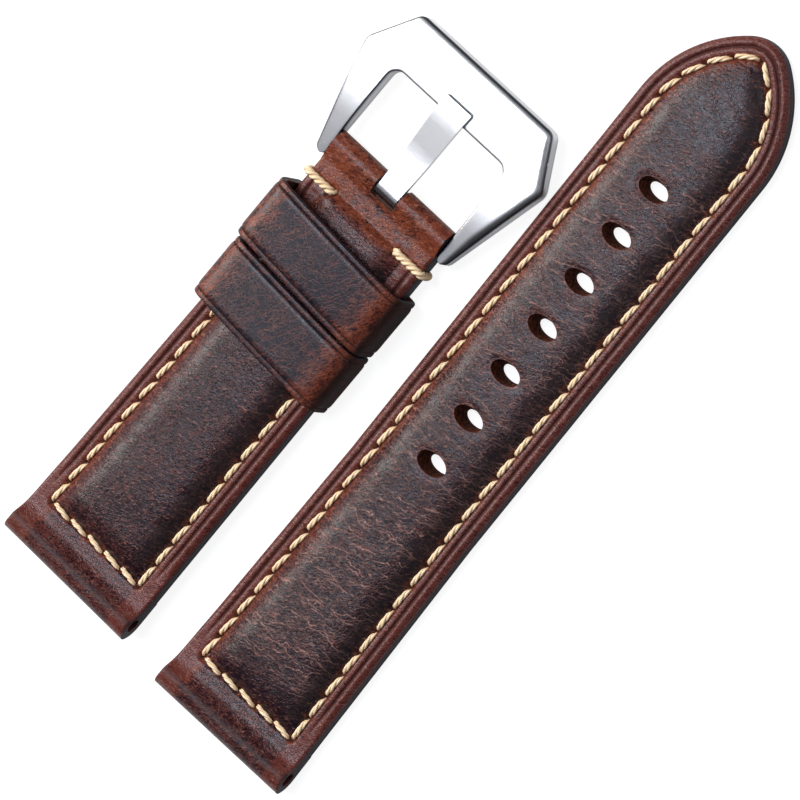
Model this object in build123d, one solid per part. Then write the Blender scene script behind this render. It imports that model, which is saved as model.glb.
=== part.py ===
from build123d import *
import os
from math import asin, atan2, cos, degrees, radians, sin, sqrt, tan

# Leather watch strap in two halves, with a pin buckle on a sprung bar, a fixed keeper and a sliding one.
# Millimetres. Each half is built along +X from its lug end with its underside at z = 0, and is then
# set down where it lies: the long half flat on the ground, the short half on its keepers.

# Plan of the two halves
LUG_WIDTH = 24.0
LONG_LENGTH = 125.0
TAIL_WIDTH = 22.2
TAIL_TAPER = 44.0
TIP_SIDE_RADIUS = 19.0
TIP_NOSE_RADIUS = 5.5
SHORT_LENGTH = 75.0
BUCKLE_END_WIDTH = 21.9

# Leather, padding and edges
LINING = 1.2
LEATHER = 1.7
PADDING = 1.9
PADDING_EDGE = 0.3
PADDING_SIDE = 0.8
EDGE_BREAK = 0.35
CREASE_INSET = 1.3
CREASE_WIDTH = 0.35
CREASE_DEPTH = 0.3
CREASE_START = 8.0
CROWN_GAP = 0.6
CROWN_SLOPE = 1.3
CROWN_ARCH = 0.5

# Height of the padding along each half, as pairs of share of the way and share of the full height
LONG_CROWN_SHARES = [(0, 0.06), (0.03, 0.6), (0.1, 1), (0.4, 0.95), (0.6, 0.75), (1, 0.6)]
TIP_CROWN_SHARES = [(0.35, 0.54), (0.6, 0.46), (0.8, 0.34), (0.92, 0.2), (0.98, 0.06)]
SHORT_CROWN_SHARES = [(0, 0.06), (0.05, 0.6), (0.15, 1), (0.5, 0.95), (0.8, 0.75), (0.96, 0.6), (1, 0.06)]

# Rolled lug end with its tunnel for the watch's spring bar
LUG_ROLL_RADIUS = 2.6
LUG_ROLL_SLOPE = 35.0
LUG_BORE_RADIUS = 1.1

# Seam and its thread
SEAM_INSET = 3.0
SEAM_LUG = 7.3
SEAM_CHANNEL = 1.15
SEAM_DEPTH = 0.45
LINING_SEAM_DEPTH = 0.76
SEAM_PITCH = 3.9
SEAM_ROW_PITCH = 3.5
SEAM_UNDER_KEEPER = 7.3
STITCH_SHARE = 0.74
STITCH_SLANT = 4.0
STITCH_END_SHARE = 0.5
THREAD_RADIUS = 0.36
THREAD_CLEAR = 0.01

# Holes for the tang
HOLE_COUNT = 7
HOLE_FIRST = 50.2
HOLE_PITCH = 8.175
HOLE_ACROSS = 5.1
HOLE_ALONG = 3.3

# Spring bar, its sprung tips and the coil inside
BAR_RADIUS = 0.75
BAR_BORE_RADIUS = 0.55
BAR_CLEAR = 0.05
BAR_END_GAP = 0.35
BAR_END_WALL = 0.5
TIP_RADIUS = 0.4
TIP_CLEAR = 0.03
TIP_HEAD_LENGTH = 1.6
TIP_REACH = 1.3
SPRING_WIRE_RADIUS = 0.1
SPRING_WIRE_SIDES = 8
SPRING_TURNS = 22
SPRING_CLEAR = 0.05

# Fold of leather round the bar, with the notch for the tang
FOLD_LEATHER = 1.15
FOLD_SLOPE = 26.0
FLAP_LENGTH = 17.0
PADDING_SETBACK = 10.6
NOTCH_WIDTH = 4.4
NOTCH_CLEAR = 0.15

# Tack stitches that close the fold
TACK_SETBACK = 7.45
TACK_INSET = 4.65
TACK_RADIUS = 0.55
TACK_SINK = 0.25
TACK_CLEAR = 0.02
TACK_CORNER = 0.7

# Keepers
KEEPER_LEATHER = 1.2
KEEPER_WIDTH = 10.0
KEEPER_CLEAR = 0.12
KEEPER_CORNER = 2.3
KEEPER_FOOT_CORNER = 1.5
KEEPER_ARCH = 0.5
KEEPER_CREASE_INSET = 1.1
FREE_KEEPER_SETBACK = 30.7
FREE_KEEPER_TRAVEL = 12.0
FREE_KEEPER_HEIGHT = 6.2
KEEPER_GAP = 0.3
FIXED_KEEPER_LEFT = 8.7
FIXED_KEEPER_RIGHT = 7.0
KEEPER_THREAD_RADIUS = 0.3
KEEPER_STITCH_LENGTH = 4.0
KEEPER_STITCH_SPACING = 4.0

# Buckle frame, measured from the bar's axis
FRAME_THICKNESS = 3.2
FRAME_SIDE_CLEAR = 0.2
FRAME_HEEL = 2.25
FRAME_HEEL_HALF = 12.7
FRAME_SHOULDER = 14.1
FRAME_SHOULDER_HALF = 17.0
FRAME_FRONT = 21.65
FRAME_FRONT_HALF = 12.7
WINDOW_FRONT = 13.7
WINDOW_CORNER = 1.4
WINDOW_RIM_ROUND = 0.6
FRAME_SHOULDER_ROUND = 2.2
FRAME_FRONT_ROUND = 1.7
FRAME_HEEL_ROUND = 1.1
FRAME_TOP_ROUND = 0.9
FRAME_EDGE_ROUND = 0.3
LEG_BORE_DEPTH = 1.15
LEG_BORE_CLEAR = 0.05

# Tang, measured from the bar's axis
TANG_THICKNESS = 0.8
TANG_BASE_WIDTH = 3.8
TANG_TIP_WIDTH = 4.9
TANG_REACH = 16.2
TANG_RISE_START = 6.4
TANG_RISE_LENGTH = 6.9
TANG_REST_GAP = 0.05
TANG_BEND = 24.0
TANG_CORNER = 0.7
TANG_NOSE_ROUND = 0.5

# Where the short half lies beside the long one
SHORT_OFFSET_X = 1.8
SHORT_OFFSET_Y = 31.35
SHORT_YAW = -1.6

# One overrun for every cut that runs through
OVERRUN = 2.0

# Worked out from the sizes above
MARGIN = LINING + LEATHER
LUG_HALF = LUG_WIDTH / 2
TAIL_HALF = TAIL_WIDTH / 2
BUCKLE_END_HALF = BUCKLE_END_WIDTH / 2
TIP_DROP = TIP_SIDE_RADIUS - TAIL_HALF
NOSE_OFFSET = sqrt((TIP_SIDE_RADIUS - TIP_NOSE_RADIUS) ** 2 - TIP_DROP ** 2)
TIP_SHOULDER = LONG_LENGTH - TIP_NOSE_RADIUS - NOSE_OFFSET
FOLD_RADIUS = BAR_RADIUS + BAR_CLEAR + FOLD_LEATHER
BAR_X = SHORT_LENGTH - FOLD_RADIUS
BAR_Z = FOLD_RADIUS
PADDING_END = SHORT_LENGTH - PADDING_SETBACK
FLAP_START = BAR_X - FLAP_LENGTH
TACK_X = SHORT_LENGTH - TACK_SETBACK
WINDOW_HALF = BUCKLE_END_HALF + FRAME_SIDE_CLEAR
CURL_RADIUS = BAR_RADIUS + BAR_CLEAR + TANG_THICKNESS
NOTCH_X = BAR_X - CURL_RADIUS - NOTCH_CLEAR
BAR_HALF = WINDOW_HALF - BAR_END_GAP
FREE_KEEPER_X = SHORT_LENGTH - FREE_KEEPER_SETBACK
FIXED_KEEPER_X = FREE_KEEPER_X + KEEPER_WIDTH + KEEPER_GAP
SEAM_END = FIXED_KEEPER_X + SEAM_UNDER_KEEPER
KEEPER_FLOOR = -KEEPER_CLEAR - KEEPER_LEATHER
GROUND = -KEEPER_FLOOR


def half_width(x, long_half):
    """Half the width of a half's plan at a distance from its lug end, before the pointed tip."""
    end_x, end_half = (TAIL_TAPER, TAIL_HALF) if long_half else (SHORT_LENGTH, BUCKLE_END_HALF)
    return LUG_HALF + (end_half - LUG_HALF) * min(x / end_x, 1)


def inset_half(x, inset, long_half):
    """Half the width of the line that runs a fixed distance inside the plan's edge."""
    if long_half and x > TIP_SHOULDER:
        return sqrt((TIP_SIDE_RADIUS - inset) ** 2 - (x - TIP_SHOULDER) ** 2) - TIP_DROP
    return half_width(x, long_half) - inset


def left_edges(start, inset, long_half, end):
    """Left edge of a half's plan, set in by a distance, from a start line to its end."""
    start_half = half_width(start, long_half) - inset
    if not long_half:
        return [Line((start, start_half), (end, half_width(end, long_half) - inset))]
    tail_half = TAIL_HALF - inset
    turn = degrees(asin(TIP_DROP / (TIP_SIDE_RADIUS - TIP_NOSE_RADIUS)))
    return [
        Line((start, start_half), (TAIL_TAPER, tail_half)),
        Line((TAIL_TAPER, tail_half), (TIP_SHOULDER, tail_half)),
        CenterArc((TIP_SHOULDER, -TIP_DROP), TIP_SIDE_RADIUS - inset, 90, turn - 90),
        CenterArc((TIP_SHOULDER + NOSE_OFFSET, 0), TIP_NOSE_RADIUS - inset, turn, -turn),
    ]


def plan(start, inset, long_half, end=SHORT_LENGTH):
    """Closed plan of one half, set in from its long edges, between a start line and its end."""
    left = left_edges(start, inset, long_half, end)
    right = [mirror(edge, about=Plane.XZ) for edge in left]
    ends = [Line(right[0] @ 0, left[0] @ 0)]
    if not long_half:
        ends.append(Line(left[-1] @ 1, right[-1] @ 1))
    return make_face(left + right + ends)


def slab(face, low, high):
    """A face in plan, made solid between two heights."""
    return extrude(Pos(0, 0, low) * face, amount=high - low, dir=(0, 0, 1))


def across(edges, half):
    """A closed outline in side view, made solid to both sides of the centre line."""
    profile = make_face(edges)
    return extrude(profile, amount=half, dir=(0, 1, 0)) + extrude(profile, amount=half, dir=(0, -1, 0))


def block(x, y, z):
    """A box between three pairs of limits."""
    size = [pair[1] - pair[0] for pair in (x, y, z)]
    middle = [(pair[1] + pair[0]) / 2 for pair in (x, y, z)]
    return Pos(*middle) * Box(*size)


def rod(radius, x, z, low, high):
    """A round bar along Y between two values of y."""
    return Pos(x, (low + high) / 2, z) * Rot(90, 0, 0) * Cylinder(radius, high - low)


def roll_foot(radius, slope, height):
    """Distance from a rolled end to where the slope behind it comes down to a height."""
    angle = radians(slope)
    return radius * (1 + sin(angle)) + (radius * (1 + cos(angle)) - height) / tan(angle)


def rolled_end(radius, slope, height):
    """Leather turned round a bar: a roll that starts at x = 0, and the slope behind it."""
    foot = roll_foot(radius, slope, height)
    over = Pos(radius, 0, radius) * (Rot(90, 0, 0) * CenterArc((0, 0), radius, 90, -slope))
    corners = [(foot, 0, height), (foot, 0, 0), (radius, 0, 0)]
    edges = [
        ThreePointArc(corners[-1], (0, 0, radius), (radius, 0, 2 * radius)),
        over,
        Line(over @ 1, corners[0]),
        Line(corners[0], corners[1]),
        Line(corners[1], corners[2]),
    ]
    return across(edges, LUG_WIDTH)


LUG_FOOT = roll_foot(LUG_ROLL_RADIUS, LUG_ROLL_SLOPE, MARGIN)
FOLD_FOOT = SHORT_LENGTH - roll_foot(FOLD_RADIUS, FOLD_SLOPE, MARGIN)


def crown_section(x, half, foot, brow, top):
    """Cross-section of the padded middle: upright sides, sloping shoulders and an arched top."""
    slope = min(CROWN_SLOPE, half / 2)
    shoulder = top - min(CROWN_ARCH, (top - brow) / 2)
    left = [(x, half, foot), (x, half, brow), (x, half - slope, shoulder)]
    right = [(x, -half, foot), (x, -half, brow), (x, -half + slope, shoulder)]
    edges = [Line(side[step], side[step + 1]) for side in (left, right) for step in (0, 1)]
    edges += [ThreePointArc(left[-1], (x, 0, top), right[-1]), Line(left[0], right[0])]
    return make_face(edges)


def padded(side, lift, long_half):
    """The padded middle of one half, from the top of the lining to a lift above the padding's height."""
    inset = SEAM_INSET + CROWN_GAP + side
    start = SEAM_LUG + CROWN_GAP + side
    end = TIP_SHOULDER if long_half else PADDING_END - side
    shares = LONG_CROWN_SHARES if long_half else SHORT_CROWN_SHARES
    stations = [(start + share * (end - start), height) for share, height in shares]
    if long_half:
        reach = sqrt((TIP_SIDE_RADIUS - inset) ** 2 - TIP_DROP ** 2)
        stations += [(end + share * reach, height) for share, height in TIP_CROWN_SHARES]
    sections = []
    for x, height in stations:
        brow = LINING + lift
        sections.append(crown_section(x, inset_half(x, inset, long_half), LINING, brow, brow + PADDING * height))
    return loft(sections, ruled=True)


def seam_channel(long_half):
    """Plan of the channel that the seam lies in, all round the long half and open on the short one."""
    half = SEAM_CHANNEL / 2
    outer = plan(SEAM_LUG - half, SEAM_INSET - half, long_half, SEAM_END)
    return outer - plan(SEAM_LUG + half, SEAM_INSET + half, long_half, SEAM_END + OVERRUN)


def crease(long_half):
    """Plan of the creased line inside the long edges."""
    outer = plan(CREASE_START, CREASE_INSET, long_half, PADDING_END)
    inner = plan(CREASE_START - OVERRUN, CREASE_INSET + CREASE_WIDTH, long_half, PADDING_END + OVERRUN)
    return outer - inner


def tang_holes():
    """The row of oval holes in the tail, as one set of cutters."""
    oval = Ellipse(HOLE_ALONG / 2, HOLE_ACROSS / 2)
    top = MARGIN + PADDING + OVERRUN
    return [slab(Pos(HOLE_FIRST + place * HOLE_PITCH, 0) * oval, -OVERRUN, top) for place in range(HOLE_COUNT)]


def place_along(edges, distance):
    """Point and heading at a distance along edges that follow each other."""
    for edge in edges:
        if distance <= edge.length or edge is edges[-1]:
            heading = edge % (distance / edge.length)
            return edge @ (distance / edge.length), degrees(atan2(heading.Y, heading.X))
        distance -= edge.length


def stitch(pitch):
    """One stitch along X, its ends drawn in where the thread goes down."""
    thread = Rot(0, 90, 0) * Cylinder(THREAD_RADIUS, pitch * STITCH_SHARE)
    return chamfer(thread.edges().filter_by(GeomType.CIRCLE), THREAD_RADIUS * STITCH_END_SHARE)


def seam_thread(height, long_half):
    """Every stitch of one face of the seam: the row across the lug end and both long sides."""
    side = left_edges(SEAM_LUG, SEAM_INSET, long_half, SEAM_END)
    row_half = (side[0] @ 0).Y - THREAD_RADIUS
    row_count = round(2 * row_half / SEAM_ROW_PITCH)
    row_pitch = 2 * row_half / row_count
    side_length = sum(edge.length for edge in side)
    side_count = round(side_length / SEAM_PITCH)
    side_pitch = side_length / side_count
    stitches = []
    for place in range(row_count):
        y = row_half - (place + 0.5) * row_pitch
        stitches.append(Pos(SEAM_LUG, y, height) * Rot(0, 0, 90 + STITCH_SLANT) * stitch(row_pitch))
    for place in range(side_count):
        point, heading = place_along(side, (place + 0.5) * side_pitch)
        for y, turn in ((point.Y, heading), (-point.Y, -heading)):
            stitches.append(Pos(point.X, y, height) * Rot(0, 0, turn + STITCH_SLANT) * stitch(side_pitch))
    return Compound([part.solid() for part in stitches])


def seam_threads(long_half):
    """The thread on the face and the thread on the lining, each lying on its channel's floor."""
    face = seam_thread(MARGIN - SEAM_DEPTH + THREAD_RADIUS + THREAD_CLEAR, long_half)
    back = seam_thread(LINING_SEAM_DEPTH - THREAD_RADIUS - THREAD_CLEAR, long_half)
    return face, back


def leather_body(long_half):
    """Face leather without its cuts: margins, padded middle and the turned lug end."""
    end = FOLD_FOOT if not long_half else LONG_LENGTH
    margins = slab(plan(LUG_FOOT, 0, long_half, end), LINING, MARGIN)
    outer = margins.edges().group_by(Axis.Z)[-1].filter_by(Axis.Y, reverse=True)
    margins = fillet(outer, EDGE_BREAK)
    lug = rolled_end(LUG_ROLL_RADIUS, LUG_ROLL_SLOPE, MARGIN) & slab(plan(0, 0, long_half), 0, LUG_WIDTH)
    return margins + lug + padded(0, LEATHER, long_half)


def leather_cuts(long_half):
    """What comes out of the face leather of either half."""
    top = MARGIN + OVERRUN
    return [
        padded(PADDING_SIDE, PADDING_EDGE, long_half),
        rod(LUG_BORE_RADIUS, LUG_ROLL_RADIUS, LUG_ROLL_RADIUS, -LUG_WIDTH, LUG_WIDTH),
        slab(seam_channel(long_half), MARGIN - SEAM_DEPTH, top),
        slab(crease(long_half), MARGIN - CREASE_DEPTH, top),
    ]


def long_half_parts():
    """Face leather, padding, lining and thread of the long half."""
    holes = tang_holes()
    leather = leather_body(True) - leather_cuts(True) - holes
    padding = padded(PADDING_SIDE, PADDING_EDGE, True) - holes
    lining = slab(plan(LUG_FOOT, 0, True), 0, LINING) - holes
    lining -= slab(seam_channel(True), -OVERRUN, LINING_SEAM_DEPTH)
    face_thread, back_thread = seam_threads(True)
    return {
        "long_face_leather": leather,
        "long_padding": padding,
        "long_lining": lining,
        "long_seam_thread": face_thread,
        "long_bobbin_thread": back_thread,
    }


def tack_loop(side, radius):
    """Thread that goes down a hole, under the fold, round its edge and back over the top."""
    inner = BUCKLE_END_HALF - TACK_INSET
    outer = half_width(TACK_X, False) + TACK_RADIUS - TACK_SINK
    top = MARGIN + TACK_RADIUS - TACK_SINK
    bottom = TACK_SINK - TACK_RADIUS
    corners = [(inner, bottom), (inner, top), (outer, top), (outer, bottom)]
    path = FilletPolyline(*[(TACK_X, side * y, z) for y, z in corners], radius=TACK_CORNER, close=True)
    return sweep(Plane(path @ 0, z_dir=path % 0) * Circle(radius), path=path)


def short_half_parts():
    """Face leather with its fold, padding, lining, thread and tack stitches of the short half."""
    fold = Pos(SHORT_LENGTH, 0, 0) * mirror(rolled_end(FOLD_RADIUS, FOLD_SLOPE, MARGIN), about=Plane.YZ)
    fold &= slab(plan(0, 0, False), 0, LUG_WIDTH)
    flap = slab(plan(FLAP_START, 0, False, FOLD_FOOT), 0, LINING)
    beyond = SHORT_LENGTH + OVERRUN
    notch = block((NOTCH_X, beyond), (-NOTCH_WIDTH / 2, NOTCH_WIDTH / 2), (-OVERRUN, LUG_WIDTH))
    bar_hole = rod(BAR_RADIUS + BAR_CLEAR, BAR_X, BAR_Z, -LUG_WIDTH, LUG_WIDTH)
    tack_paths = [tack_loop(side, TACK_RADIUS + TACK_CLEAR) for side in (1, -1)]
    leather = leather_body(False) + fold + flap
    leather = leather - leather_cuts(False) - [notch, bar_hole] - tack_paths
    lining = slab(plan(LUG_FOOT, 0, False, FLAP_START), 0, LINING)
    channel = slab(seam_channel(False), -OVERRUN, LINING_SEAM_DEPTH)
    face_thread, back_thread = seam_threads(False)
    return {
        "short_face_leather": leather - channel,
        "short_padding": padded(PADDING_SIDE, PADDING_EDGE, False),
        "short_lining": lining - channel,
        "short_seam_thread": face_thread,
        "short_bobbin_thread": back_thread,
        "tack_stitch_left": tack_loop(1, TACK_RADIUS),
        "tack_stitch_right": tack_loop(-1, TACK_RADIUS),
    }


def keeper_section(floor, left, right, inset):
    """Cross-section of a keeper's loop, set in from its outer face."""
    half = half_width(FREE_KEEPER_X - FREE_KEEPER_TRAVEL, False) + KEEPER_CLEAR + KEEPER_LEATHER - inset
    floor, left, right = floor + inset, left - inset, right - inset
    edges = [
        Line((-half, floor), (half, floor)),
        Line((half, floor), (half, left)),
        ThreePointArc((half, left), (0, (left + right) / 2 + KEEPER_ARCH), (-half, right)),
        Line((-half, right), (-half, floor)),
    ]
    section = make_face(edges)
    section = fillet(section.vertices().group_by(Axis.Y)[0], KEEPER_FOOT_CORNER - inset)
    raised = [corner for corner in section.vertices() if corner.Y >= min(left, right) - THREAD_CLEAR]
    return fillet(raised, KEEPER_CORNER - inset)


def keeper(x, floor, left, right):
    """A leather loop with a creased line near each edge, and the two stitches that close it below."""
    outer = keeper_section(floor, left, right, 0)
    loop = extrude(Plane.YZ * (outer - keeper_section(floor, left, right, KEEPER_LEATHER)), KEEPER_WIDTH)
    line = extrude(Plane.YZ * (outer - keeper_section(floor, left, right, CREASE_DEPTH)), CREASE_WIDTH)
    far_crease = KEEPER_WIDTH - KEEPER_CREASE_INSET - CREASE_WIDTH
    loop = loop - Pos(KEEPER_CREASE_INSET, 0, 0) * line - Pos(far_crease, 0, 0) * line
    thread_z = floor + KEEPER_THREAD_RADIUS + THREAD_CLEAR
    stitches = []
    for side in (1, -1):
        place = (KEEPER_WIDTH + side * KEEPER_STITCH_SPACING) / 2
        half = KEEPER_STITCH_LENGTH / 2
        stitches.append(rod(KEEPER_THREAD_RADIUS, place, thread_z, -half, half))
        loop -= rod(KEEPER_THREAD_RADIUS + THREAD_CLEAR, place, thread_z, -half, half)
        loop -= block((place - KEEPER_THREAD_RADIUS, place + KEEPER_THREAD_RADIUS),
                      (-half, half), (floor - OVERRUN, thread_z))
    thread = Compound([part.solid() for part in stitches])
    return Pos(x, 0, 0) * loop, Pos(x, 0, 0) * thread


def keeper_parts():
    """The fixed keeper beside the buckle and the free one beside it."""
    free, free_stitch = keeper(FREE_KEEPER_X, KEEPER_FLOOR, FREE_KEEPER_HEIGHT, FREE_KEEPER_HEIGHT)
    fixed, fixed_stitch = keeper(FIXED_KEEPER_X, -KEEPER_LEATHER, FIXED_KEEPER_LEFT, FIXED_KEEPER_RIGHT)
    return {
        "free_keeper": free,
        "free_keeper_stitch": free_stitch,
        "fixed_keeper": fixed,
        "fixed_keeper_stitch": fixed_stitch,
    }


def spring_bar_parts():
    """Tube, two sprung tips and the coil between them, with the bar's axis along Y through the origin."""
    inner = BAR_HALF - BAR_END_WALL
    tube = rod(BAR_RADIUS, 0, 0, -BAR_HALF, BAR_HALF)
    tube = tube - rod(BAR_BORE_RADIUS, 0, 0, -inner, inner) - rod(TIP_RADIUS + TIP_CLEAR, 0, 0, -LUG_WIDTH, LUG_WIDTH)
    head_end = inner - TIP_CLEAR
    head_start = head_end - TIP_HEAD_LENGTH
    tip = rod(BAR_BORE_RADIUS - TIP_CLEAR, 0, 0, head_start, head_end)
    tip += rod(TIP_RADIUS, 0, 0, head_start, BAR_HALF + TIP_REACH)
    reach = head_start - SPRING_CLEAR - SPRING_WIRE_RADIUS
    coil_radius = BAR_BORE_RADIUS - SPRING_CLEAR - SPRING_WIRE_RADIUS
    path = Helix(2 * reach / SPRING_TURNS, 2 * reach, coil_radius)
    wire = RegularPolygon(SPRING_WIRE_RADIUS, SPRING_WIRE_SIDES)
    coil = sweep(Plane(path @ 0, z_dir=path % 0) * wire, path=path, is_frenet=True)
    return {
        "spring_bar_tube": tube,
        "spring_bar_tip_left": tip,
        "spring_bar_tip_right": mirror(tip, about=Plane.XZ),
        "spring_bar_spring": Rot(90, 0, 0) * Pos(0, 0, -reach) * coil,
    }


def corners_near(shape, places):
    """The corners of a flat outline that lie at given places, on both sides of the centre line."""
    found = []
    for corner in shape.vertices():
        for x, y in places:
            if abs(corner.X - x) < THREAD_CLEAR and abs(abs(corner.Y) - y) < THREAD_CLEAR:
                found.append(corner)
    return found


def buckle_frame():
    """Steel frame: two flaring legs, a straight front bar, and a blind bore in each heel for a tip."""
    heel = (-FRAME_HEEL, FRAME_HEEL_HALF)
    shoulder = (FRAME_SHOULDER, FRAME_SHOULDER_HALF)
    front = (FRAME_FRONT, FRAME_FRONT_HALF)
    left = [heel, shoulder, front]
    outline = make_face(Polyline(*left, *[(x, -y) for x, y in reversed(left)], close=True))
    outline = fillet(corners_near(outline, [shoulder]), FRAME_SHOULDER_ROUND)
    outline = fillet(corners_near(outline, [front]), FRAME_FRONT_ROUND)
    outline = fillet(corners_near(outline, [heel]), FRAME_HEEL_ROUND)
    frame = slab(outline, -FRAME_THICKNESS / 2, FRAME_THICKNESS / 2)
    frame = fillet(frame.edges().group_by(Axis.Z)[-1], FRAME_TOP_ROUND)
    frame = fillet(frame.edges().group_by(Axis.Z)[0], FRAME_EDGE_ROUND)
    behind = FRAME_HEEL + OVERRUN
    window = Pos((WINDOW_FRONT - behind) / 2, 0) * Rectangle(WINDOW_FRONT + behind, 2 * WINDOW_HALF)
    window = fillet(corners_near(window, [(WINDOW_FRONT, WINDOW_HALF)]), WINDOW_CORNER)
    frame -= slab(window, -FRAME_THICKNESS, FRAME_THICKNESS)
    heel_flat = FRAME_TOP_ROUND + THREAD_CLEAR - FRAME_HEEL
    rim = [edge for edge in frame.edges().group_by(Axis.Z)[-1]
           if heel_flat < (edge @ 0.5).X < WINDOW_FRONT + THREAD_CLEAR
           and abs((edge @ 0.5).Y) < WINDOW_HALF + THREAD_CLEAR]
    frame = fillet(rim, WINDOW_RIM_ROUND)
    for side in (1, -1):
        ends = sorted([side * (WINDOW_HALF - OVERRUN), side * (WINDOW_HALF + LEG_BORE_DEPTH)])
        frame -= rod(TIP_RADIUS + LEG_BORE_CLEAR, 0, 0, *ends)
    return frame


def buckle_tang():
    """Flat tang: curled round the bar, straight, then stepped up to lie on the front bar."""
    low = BAR_RADIUS + BAR_CLEAR
    rest = FRAME_THICKNESS / 2 + TANG_REST_GAP
    rise_end = TANG_RISE_START + TANG_RISE_LENGTH
    under = [(0, 0, low), (TANG_RISE_START, 0, low), (rise_end, 0, rest), (TANG_REACH, 0, rest)]
    over = [(x, 0, z + TANG_THICKNESS) for x, _, z in reversed(under)]
    strip = across(Polyline(*under, *over, close=True).edges(), TANG_TIP_WIDTH)
    bends = [edge for edge in strip.edges().filter_by(Axis.Y)
             if any(abs((edge @ 0.5).X - x) < THREAD_CLEAR for x in (TANG_RISE_START, rise_end))]
    strip = fillet(bends, TANG_BEND)
    nose = [edge for edge in strip.edges().filter_by(Axis.Y)
            if abs((edge @ 0.5).X - TANG_REACH) < THREAD_CLEAR and (edge @ 0.5).Z > rest + THREAD_CLEAR]
    strip = fillet(nose, TANG_NOSE_ROUND)
    base, tip = TANG_BASE_WIDTH / 2, TANG_TIP_WIDTH / 2
    taper = [(-CURL_RADIUS, base), (0, base), (TANG_REACH, tip)]
    shape = make_face(Polyline(*taper, *[(x, -y) for x, y in reversed(taper)], close=True))
    shape = fillet(corners_near(shape, [(TANG_REACH, tip)]), TANG_CORNER)
    curl = rod(CURL_RADIUS, 0, 0, -base, base)
    tang = (strip & slab(shape, -LUG_WIDTH, LUG_WIDTH)) + curl
    return tang - rod(low, 0, 0, -LUG_WIDTH, LUG_WIDTH)


def buckle_parts():
    """Everything on the bar's axis."""
    parts = spring_bar_parts()
    parts["buckle_frame"] = buckle_frame()
    parts["buckle_tang"] = buckle_tang()
    return {name: Pos(BAR_X, 0, BAR_Z) * shape for name, shape in parts.items()}


def strap_parts():
    """Every piece where it lies, with the middle of the whole strap's foot at the origin."""
    set_down = Pos(SHORT_OFFSET_X, SHORT_OFFSET_Y, GROUND) * Rot(0, 0, SHORT_YAW)
    parts = long_half_parts()
    for group in (short_half_parts(), keeper_parts(), buckle_parts()):
        for name, shape in group.items():
            parts[name] = set_down * shape
    whole = Compound([solid for shape in parts.values() for solid in shape.solids()]).bounding_box()
    centre = whole.center()
    home = Pos(-centre.X, -centre.Y, -whole.min.Z)
    return {name: home * shape for name, shape in parts.items()}


os.makedirs("parts", exist_ok=True)
for name, shape in strap_parts().items():
    export_step(shape, "parts/" + name + ".step")
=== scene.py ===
import math

import bmesh
import bpy
import numpy as np
from mathutils import Matrix, Vector


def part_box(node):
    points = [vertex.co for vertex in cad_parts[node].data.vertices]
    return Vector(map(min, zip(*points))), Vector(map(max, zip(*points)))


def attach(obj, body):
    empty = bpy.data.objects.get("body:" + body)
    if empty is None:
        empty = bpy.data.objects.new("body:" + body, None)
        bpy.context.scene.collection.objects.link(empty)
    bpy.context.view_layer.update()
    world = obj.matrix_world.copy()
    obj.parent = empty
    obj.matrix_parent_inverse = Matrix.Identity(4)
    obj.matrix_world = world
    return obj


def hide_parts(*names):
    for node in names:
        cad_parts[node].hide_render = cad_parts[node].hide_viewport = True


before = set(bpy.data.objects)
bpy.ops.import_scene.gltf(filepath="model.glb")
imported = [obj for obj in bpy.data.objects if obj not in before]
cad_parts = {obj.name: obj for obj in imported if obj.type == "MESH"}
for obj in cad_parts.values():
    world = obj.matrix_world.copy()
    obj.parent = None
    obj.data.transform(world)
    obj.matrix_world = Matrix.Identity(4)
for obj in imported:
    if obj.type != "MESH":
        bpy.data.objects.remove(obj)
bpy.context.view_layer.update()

MM = 0.001
RNG = np.random.default_rng(7)

# sizes in millimetres: most are the part's own, and a few are changed a little to look like the photo
LONG_LENGTH, SHORT_LENGTH = 125.0, 75.0
LUG_HALF, TAIL_HALF, BUCKLE_END_HALF = 12.0, 11.1, 10.95
TAIL_TAPER, TIP_R, NOSE_R = 44.0, 19.0, 5.5
TIP_DROP = TIP_R - TAIL_HALF
NOSE_OFFSET = math.sqrt((TIP_R - NOSE_R) ** 2 - TIP_DROP ** 2)
TIP_X = LONG_LENGTH - NOSE_R - NOSE_OFFSET
TIP_TURN = math.asin(TIP_DROP / (TIP_R - NOSE_R))
LINING, MARGIN, PADDING = 1.2, 2.9, 1.9
# the roll at the lug end, 0.7 mm lower than the part's: nose, top, how fast it falls, and where it ends
ROLL_X, ROLL_TOP, ROLL_FALL, LUG_FOOT = 2.4, 4.5, 1.55, 6.7
TUNNEL_X, TUNNEL_Z, TUNNEL_R = 2.6, 2.6, 1.1
# half the length of a cutter that goes right across the strap
CUT_HALF = 20
FOLD_R, FOLD_SLOPE = 1.95, math.radians(26)
BAR_X, BAR_Z = SHORT_LENGTH - FOLD_R, FOLD_R
BAR_TUNNEL_R = 0.8
FLAP_X = BAR_X - 17.0
SEAM_X, SEAM_INSET, SEAM_END = 7.3, 3.0, 61.9
STITCH_PITCH, ROW_PITCH = 3.9, 3.5
CREASE = 1.475
SHORT_OFFSET, SHORT_YAW, GROUND = (1.8, 31.35), math.radians(-1.6), 1.32
HOLES_X = [50.2 + 8.175 * k for k in range(7)]
HOLE_A, HOLE_B = 1.65, 2.55
# heights through the leather, and how much narrower a punched hole is at each
HOLE_WALL = ((-2, 0.66), (1.3, 0.66), (3.7, 0.12), (9, 0.05))
# the thread's height on the face and on the lining, and how far its ends dive
FACE_THREAD, BOBBIN_THREAD = (2.84, 0.72), (0.39, -0.4)
THREAD_R, TACK_R, KEEPER_THREAD_R = 0.41, 0.65, 0.3
TACK_X, TACK_Y = 67.55, 6.3
TACK_PITS = [(TACK_X - 0.75, TACK_Y + 0.55), (TACK_X - 0.75, -TACK_Y + 0.35)]
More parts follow.
